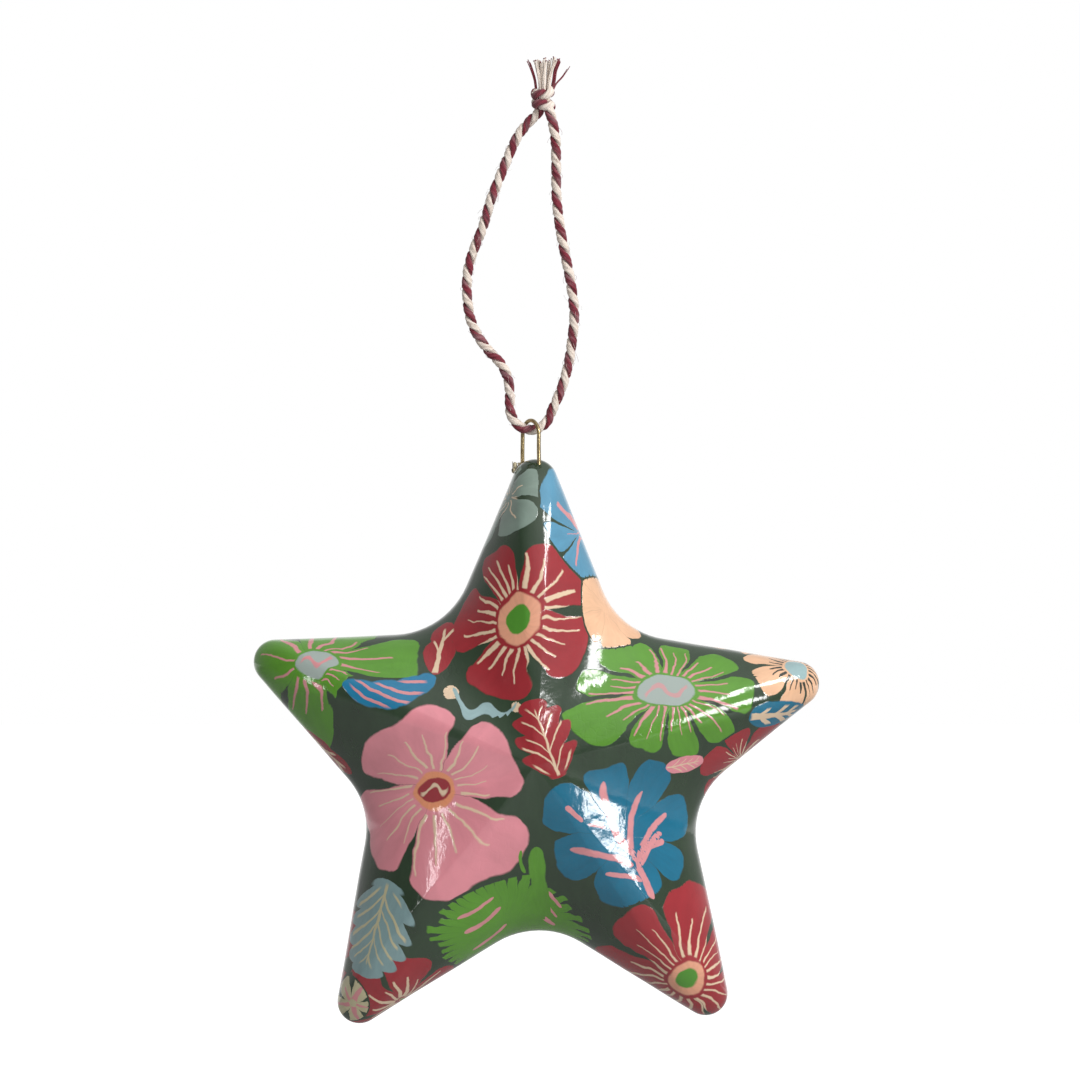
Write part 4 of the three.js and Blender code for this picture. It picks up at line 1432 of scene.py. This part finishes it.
def buildBloomGroup():
    tree, sheet, given = startPaintGroup("paintedBloom", "bloom", ("Room",))
    soft, softLine = brushwork["softEdge"], brushwork["softLine"]
    across, up, seed = sheet.split(given["Place"])
    seed = sheet.whole(seed)
    petals, valley, notch = sheet.split(given["Petals"])
    petals = sheet.whole(petals)
    lean, flatness, gap = sheet.split(given["Lean"])
    ring, core, coreMark = sheet.split(given["Middle"])
    perPetal, strokeReach, strokeWidth = sheet.split(given["Strokes"])
    across, up, raggedness = handDrawn(sheet, across, up, seed, brushwork["bloomErrors"])
    away = sheet.sum("SQRT", across * across + up * up)
    turn = sheet.sum("ARCTAN2", up, across) / (2 * math.pi)
    driftSeed, drift = brushwork["petalDrift"]
    turn = turn + sheet.sum("SINE", turn * (2 * math.pi) + seed * driftSeed) * drift
    place = turn * petals
    petal = sheet.whole(place)
    wrapped = sheet.whole(sheet.sum("WRAP", petal, petals, 0.0))
    offset = abs(place - petal)
    luck = sheet.chance(wrapped, seed, 0.3)
    fromNotch = offset * brushwork["notchSharpness"]
    dip = notch / (1 + fromNotch * fromNotch)
    # petals are round at their corners, and a thin wedge of ground between them reaches in to the valley
    corner = (1 - sheet.most(valley, brushwork["leastValley"])) * (offset * 2) ** brushwork["petalCorner"]
    edge = (1 - corner) * varied(luck, "petalReach") - dip
    opening = sheet.most(away - valley - varied(luck, "valleyDepth"), 0)
    wedge = petals * sheet.sum("MINIMUM", opening * brushwork["wedgeSlope"], gap)
    cover = sheet.below(away, edge, soft) * sheet.below(wedge, 0.5 - offset, soft)
    strip = brushwork["strip"]
    cover = cover * sheet.below(strip, given["Room"] + (raggedness - 0.5) * strip, soft)
    # strokes fan out from the ring, each with its own length, width and bend
    waves, shift, bendSize = brushwork["strokeBend"]
    bend = sheet.sum("SINE", away * waves + luck * shift) * bendSize
    line = (place + bend) * perPetal
    stroke = sheet.whole(line)
    strokeLuck = sheet.chance(stroke, seed, 0.7)
    otherLuck = sheet.chance(stroke, seed, 5.1)
    aside = abs(line - stroke) / perPetal / petals * away * (2 * math.pi)
    flatAcross = across * sheet.sum("COSINE", lean) + up * sheet.sum("SINE", lean)
    flatUp = up * sheet.sum("COSINE", lean) - across * sheet.sum("SINE", lean)
    flattened = sheet.sum("SQRT", flatAcross * flatAcross + flatUp * flatUp * (1 + flatness))
    start = ring + varied(strokeLuck, "strokeStart")
    progress = (away - start) / (strokeReach * varied(otherLuck, "strokeLength"))
    widest, taper = brushwork["strokeTaper"]
    width = strokeWidth * varied(strokeLuck, "strokeWidth") * (widest - progress * taper)
    strokes = sheet.below(aside, width, softLine) * sheet.below(start, flattened, 0.01)
    strokes = strokes * sheet.below(progress, 1, 0.03)
    strokes = strokes * sheet.below(brushwork["leastWidth"], strokeWidth, 0.001)
    sideways, outwards, scale = brushwork["petalStreaks"]
    streaks = sheet.noise(sheet.combine(place * sideways, away * outwards, seed), scale, 3)
    washSeed, scale = brushwork["petalWashes"]
    washes = sheet.noise(sheet.combine(across, up, seed * washSeed), scale, 1)
    petalPaint = brushedPaint(sheet, given["Petal Colour"], streaks, washes)
    colour = sheet.blend(strokes, petalPaint, given["Stroke Colour"])
    # the ring, the core and the scribble on it
    onRing = sheet.below(flattened, ring, 0.014)
    ringLeast, ringStreaks = brushwork["ringTone"]
    colour = sheet.blend(onRing, colour, sheet.toned(given["Ring Colour"], ringLeast + streaks * ringStreaks))
    coreFlatness = 1 + flatness * brushwork["coreFlatness"]
    coreAway = sheet.sum("SQRT", flatAcross * flatAcross + flatUp * flatUp * coreFlatness)
    colour = sheet.blend(sheet.below(coreAway, core, soft), colour, given["Core Colour"])
    waves, height, thickness, reach = brushwork["scribble"]
    scribble = abs(flatUp - sheet.sum("SINE", flatAcross / core * waves + seed) * core * height)
    mark = sheet.below(scribble, core * thickness, 0.01) * sheet.below(abs(flatAcross), core * reach, 0.02)
    colour = sheet.blend(mark * coreMark, colour, given["Stroke Colour"])
    covered = sheet.most(cover, onRing)
    endGroup(sheet, {"Colour": colour, "Cover": covered, "Relief": covered + strokes * 0.6 + onRing * 0.4})
    return tree


def buildLeafGroup():
    tree, sheet, given = startPaintGroup("paintedLeaf", "leaf")
    soft, softLine = brushwork["softEdge"], brushwork["softLine"]
    along, across, seed = sheet.split(given["Place"])
    seed = sheet.whole(seed)
    halfWidth, lobes, lobeDepth = sheet.split(given["Outline"])
    veins, veinWidth, midrib = sheet.split(given["Veins"])
    midrib = sheet.whole(midrib)
    bend, wave = sheet.split(given["Sweep"])[:2]
    along, across = handDrawn(sheet, along, across, seed, brushwork["leafErrors"])[:2]
    inside = sheet.most(along * (1 - along) * 4, 0)
    waving = sheet.sum("SINE", along * leafWave["rate"] + leafWave["start"])
    across = across - bend * inside - wave * waving
    aside = abs(across)
    lobe = sheet.sum("FRACT", (along - aside * brushwork["lobeLean"]) * lobes)
    scallop = 1 - lobeDepth * (abs(lobe - 0.5) * 2) ** 2
    fullness = halfWidth * inside ** brushwork["leafRoundness"]
    cover = sheet.below(aside, fullness * scallop - soft, soft)
    # veins branch both ways from a midrib, and without one they are single strokes that slant either way
    ribbed = sheet.most(midrib, 0)
    curve, lean = brushwork["veinSlant"]
    loneLean, back = brushwork["loneSlant"]
    way = 1 + sheet.sum("MINIMUM", midrib, 0) * back
    slant = aside**curve * lean * ribbed + across * (1 - ribbed) * loneLean * way
    row = (along - slant) * veins
    veinIndex = sheet.sum("FLOOR", row)
    luck = sheet.chance(veinIndex, sheet.whole(sheet.sum("SIGN", across) * ribbed), seed)
    veinGap = abs(row - veinIndex - varied(luck, "veinShift")) / veins * brushwork["acrossVein"]
    sideVeins = sheet.below(veinGap, veinWidth * varied(luck, "veinWidth"), softLine)
    sideVeins = sideVeins * sheet.below(aside, fullness * varied(luck, "veinLength"), 0.02)
    start, end = brushwork["veinedPart"]
    sideVeins = sideVeins * sheet.below(start, along, 0.03) * sheet.below(along, end, 0.03)
    mainVein = sheet.below(aside, veinWidth * (brushwork["midribTaper"] - along), softLine) * ribbed
    start, end = brushwork["midribPart"]
    mainVein = mainVein * sheet.below(along, end, 0.03) * sheet.below(start, along, 0.02)
    drawn = sheet.most(sideVeins, mainVein) * sheet.below(brushwork["leastWidth"], veinWidth, 0.001)
    lengthways, sideways, scale = brushwork["leafStreaks"]
    streaks = sheet.noise(sheet.combine(along * lengthways, across * sideways, seed), scale, 3)
    washSeed, scale = brushwork["leafWashes"]
    washes = sheet.noise(sheet.combine(along, across, seed * washSeed), scale, 1)
    leafPaint = brushedPaint(sheet, given["Leaf Colour"], streaks, washes)
    colour = sheet.blend(drawn, leafPaint, given["Vein Colour"])
    covered = sheet.most(cover, drawn)
    endGroup(sheet, {"Colour": colour, "Cover": covered, "Relief": covered + drawn * 0.6})
    return tree


# Lacquer: clear and brushed over the paint

lacquerFinish = {
    "surface": {"IOR": 1.7},
    "roughness": 0.1,
    "crazing": 0.12,
    "reliefMm": 0.06,
    "relief": 1.0,
    "wavesPerMetre": 300,
    "pullPerMetre": 1500,     # streaks that the brush pulled
    "pullStretch": (1.0, 1.0, 0.35),
    "cracksPerMetre": 700,
    "crackHalfWidth": (0.06, 0.05),   # and how soft its edge is, as shares of the cells between cracks
    "patchesPerMetre": 60,    # of fine cracks
    "patchAbove": 0.64,
    "patchEdge": 0.03,
    "smearsPerMetre": 160,
    # how high the paint's edges, the waves and the pulled streaks stand
    "heights": (0.3, 1.2, 0.25),
    "smearTone": (0.7, 0.6),  # the least share of the roughness, and how much smears add
    # the ground: how dark it is at least, and how much its mottle and streaks lighten it
    "groundTone": (0.5, 0.8, 0.6),
    "mottlePerMetre": 90,
    "streaksPerMetre": 420,
    "streakStretch": (1.0, 1.0, 0.2),
}


def buildLacquerGroup():
    # soft waves, fine crazing and the edge of each paint layer
    tree, sheet, given = startGroup(
        "brushedLacquer",
        {"Vector": ("Place",), "Float": ("Relief", "Roughness", "Crazing")},
        {"Float": ("Height", "Roughness")},
    )
    place = given["Place"]
    waves = sheet.noise(place, lacquerFinish["wavesPerMetre"], 3)
    pull = sheet.noise(place, lacquerFinish["pullPerMetre"], 2, stretch=lacquerFinish["pullStretch"])
    cells = {"Vector": place, "Scale": lacquerFinish["cracksPerMetre"]}
    craze = sheet.node("ShaderNodeTexVoronoi", cells, feature="DISTANCE_TO_EDGE")
    cracks = sheet.below(sheet.term(craze, "Distance"), *lacquerFinish["crackHalfWidth"])
    patches = sheet.noise(place, lacquerFinish["patchesPerMetre"], 2)
    patches = sheet.below(lacquerFinish["patchAbove"], patches, lacquerFinish["patchEdge"])
    edgeHeight, waveHeight, pullHeight = lacquerFinish["heights"]
    height = given["Relief"] * edgeHeight + waves * waveHeight + pull * pullHeight
    smears = sheet.noise(place, lacquerFinish["smearsPerMetre"], 4)
    least, smearShare = lacquerFinish["smearTone"]
    endGroup(sheet, {
        "Height": height - cracks * patches * given["Crazing"],
        "Roughness": given["Roughness"] * (least + smears * smearShare),
    })
    return tree


bloomGroup = buildBloomGroup()
leafGroup = buildLeafGroup()
lacquerGroup = buildLacquerGroup()


def paintedMotifs(sheet, tree, label, **extra):
    # a paint group, fed with what paintSkin left on the mesh
    kind = motifKinds[label]
    feeds = {name: sheet.attribute(label + name) for name in ("Place", *kind["values"])}
    feeds.update({name: sheet.attribute(label + name.replace(" ", ""), "Color") for name in kind["colours"]})
    return sheet.group(tree, {**feeds, **extra})


def makeLacquer():
    material, sheet, principled = startMaterial("paintedLacquer", lacquerFinish["surface"])
    place = sheet.place()
    mottle = sheet.noise(place, lacquerFinish["mottlePerMetre"], 4)
    streaks = sheet.noise(place, lacquerFinish["streaksPerMetre"], 3, stretch=lacquerFinish["streakStretch"])
    least, mottleShare, streakShare = lacquerFinish["groundTone"]
    colour = sheet.toned(paints["ground"], mottle * mottleShare + streaks * streakShare + least)
    blooms = paintedMotifs(sheet, bloomGroup, "bloom", Room=sheet.attribute("bloomRoom", "Fac"))
    leaves = paintedMotifs(sheet, leafGroup, "leaf")
    for part in (blooms, leaves):
        colour = sheet.blend(part["Cover"], colour, part["Colour"])
    lacquer = sheet.group(lacquerGroup, {
        "Place": place,
        "Relief": sheet.most(blooms["Relief"], leaves["Relief"]),
        "Roughness": lacquerFinish["roughness"],
        "Crazing": lacquerFinish["crazing"],
    })
    bump = sheet.bump(lacquer["Height"], lacquerFinish["reliefMm"], lacquerFinish["relief"])
    sheet.feed(principled, {"Base Color": colour, "Roughness": lacquer["Roughness"], "Normal": bump})
    return material


def makeStar():
    pulp = makePaste("barePulp", *pasteFinish["pulp"])
    lacquer = makeLacquer()
    for side, name, node in ((-1, "painted_front", "front_shell"), (1, "painted_back", "back_shell")):
        skin = starSkin(side, name, [lacquer, pulp])
        paintSkin(skin.data)
        fit(skin, "star", node)
    joinPaste = makePaste("joinPaste", *pasteFinish["join"])
    for node, finish in (("join_paste", joinPaste), ("anchor_plug", pulp)):
        for slot in bpy.data.objects[node].material_slots:
            slot.material = finish


makeStar()
print("star painted")

# Room: white all round, dimmer behind the camera, with soft lamps

studio = {
    "floorDrop": 0.06,
    "floorHalf": 4,
    "floorColour": (0.45, 0.45, 0.45, 1),
    "floorRoughness": 0.9,
    "floorGrain": 30,
    "floorTone": (0.97, 0.06),   # the least share of its colour, and how much the grain adds
    "floorGlow": 0.8,
    "backdrop": 0.55,         # light from behind the star
    "cameraSide": 0.16,       # light from the camera's side
    "turnsBright": (-0.6, 0.5),   # how far to the back the room starts and stops growing brighter
    "glow": (36, 46, 1.0),    # a soft bright part of the room: bearing, elevation and strength
    "glowPower": 4,           # the higher, the smaller it is
    # how far back the star mirrors the room and the floor as white, and how softly that starts
    "mirroredRoom": (0.75, 0.2),
    "mirroredFloor": (0.4, 0.3),
    "aim": (0.0, 0.0, -0.1),
    # name: bearing to the right of the camera, elevation, distance, size across and up, watts
    "lamps": {
        "ridge": (30, 34, 0.9, 0.06, 0.3, 1.2),
        "window": (35, 5, 0.9, 0.3, 0.11, 1.7),
        "right": (54, 34, 0.9, 0.5, 0.15, 3.4),
        "left": (-43, 5, 1.0, 0.05, 0.2, 0.25),
    },
}


def roomWay(bearing, elevation):
    turn, rise = math.radians(bearing), math.radians(elevation)
    return Vector((math.sin(turn) * math.cos(rise), -math.cos(turn) * math.cos(rise), math.sin(rise)))


def seenAsWhite(sheet, depth, start, softness):
    # 1 for the camera, and for what metal and lacquer mirror from behind the star
    rays = sheet.node("ShaderNodeLightPath")
    mirrored = sheet.term(rays, "Is Glossy Ray") * sheet.below(start, depth, softness)
    seen = sheet.most(sheet.term(rays, "Is Camera Ray"), sheet.term(rays, "Is Transmission Ray"))
    return sheet.most(seen, mirrored)


def makeRoom():
    world = bpy.data.worlds.new("paleRoom")
    bpy.context.scene.world = world
    world.use_nodes = True
    sheet = Sheet(world.node_tree)
    direction = sheet.split(sheet.term(sheet.node("ShaderNodeTexCoord"), "Generated"))
    feeds = dict(zip(("Value", "From Min", "From Max"), (direction[1], *studio["turnsBright"])))
    feeds.update({"To Min": studio["cameraSide"], "To Max": studio["backdrop"]})
    behind = sheet.term(sheet.node("ShaderNodeMapRange", feeds, interpolation_type="SMOOTHSTEP"))
    *glowPlace, glowStrength = studio["glow"]
    way = roomWay(*glowPlace)
    toGlow = direction[0] * way.x + direction[1] * way.y + direction[2] * way.z
    glow = sheet.most(toGlow, 0) ** studio["glowPower"] * glowStrength
    light = sheet.sum("MINIMUM", behind + glow, 1)
    seen = seenAsWhite(sheet, direction[1], *studio["mirroredRoom"])
    sheet.feed(world.node_tree.nodes["Background"], {"Color": white, "Strength": sheet.most(light, seen)})


def makeFloor():
    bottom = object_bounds()[0][2] - studio["floorDrop"]
    half = studio["floorHalf"]
    corners = [(x * half, y * half, bottom) for x, y in ((-1, -1), (1, -1), (1, 1), (-1, 1))]
    mesh = bpy.data.meshes.new("floor")
    mesh.from_pydata(corners, [], [(0, 1, 2, 3)])
    floor = addToScene("floor", mesh)
    constants = {"Roughness": studio["floorRoughness"], "Emission Color": white}
    material, sheet, principled = startMaterial("paleFloor", constants)
    grain = sheet.noise(sheet.place(), studio["floorGrain"], 3)
    seen = seenAsWhite(sheet, sheet.split(sheet.place())[1], *studio["mirroredFloor"])
    least, grainShare = studio["floorTone"]
    sheet.feed(principled, {
        "Base Color": sheet.toned(studio["floorColour"], grain * grainShare + least),
        "Emission Strength": seen * studio["floorGlow"],
    })
    mesh.materials.append(material)


def makeLamps():
    aim = Vector(studio["aim"])
    for name, (bearing, elevation, distance, across, up, watts) in studio["lamps"].items():
        lamp = bpy.data.lights.new(name, "AREA")
        lamp.shape = "RECTANGLE"
        lamp.size, lamp.size_y, lamp.energy = across, up, watts
        holder = addToScene(name, lamp)
        way = roomWay(bearing, elevation)
        holder.location = aim + way * distance
        holder.rotation_euler = way.to_track_quat("Z", "Y").to_euler()


makeRoom()
makeFloor()
makeLamps()
print("room lit")
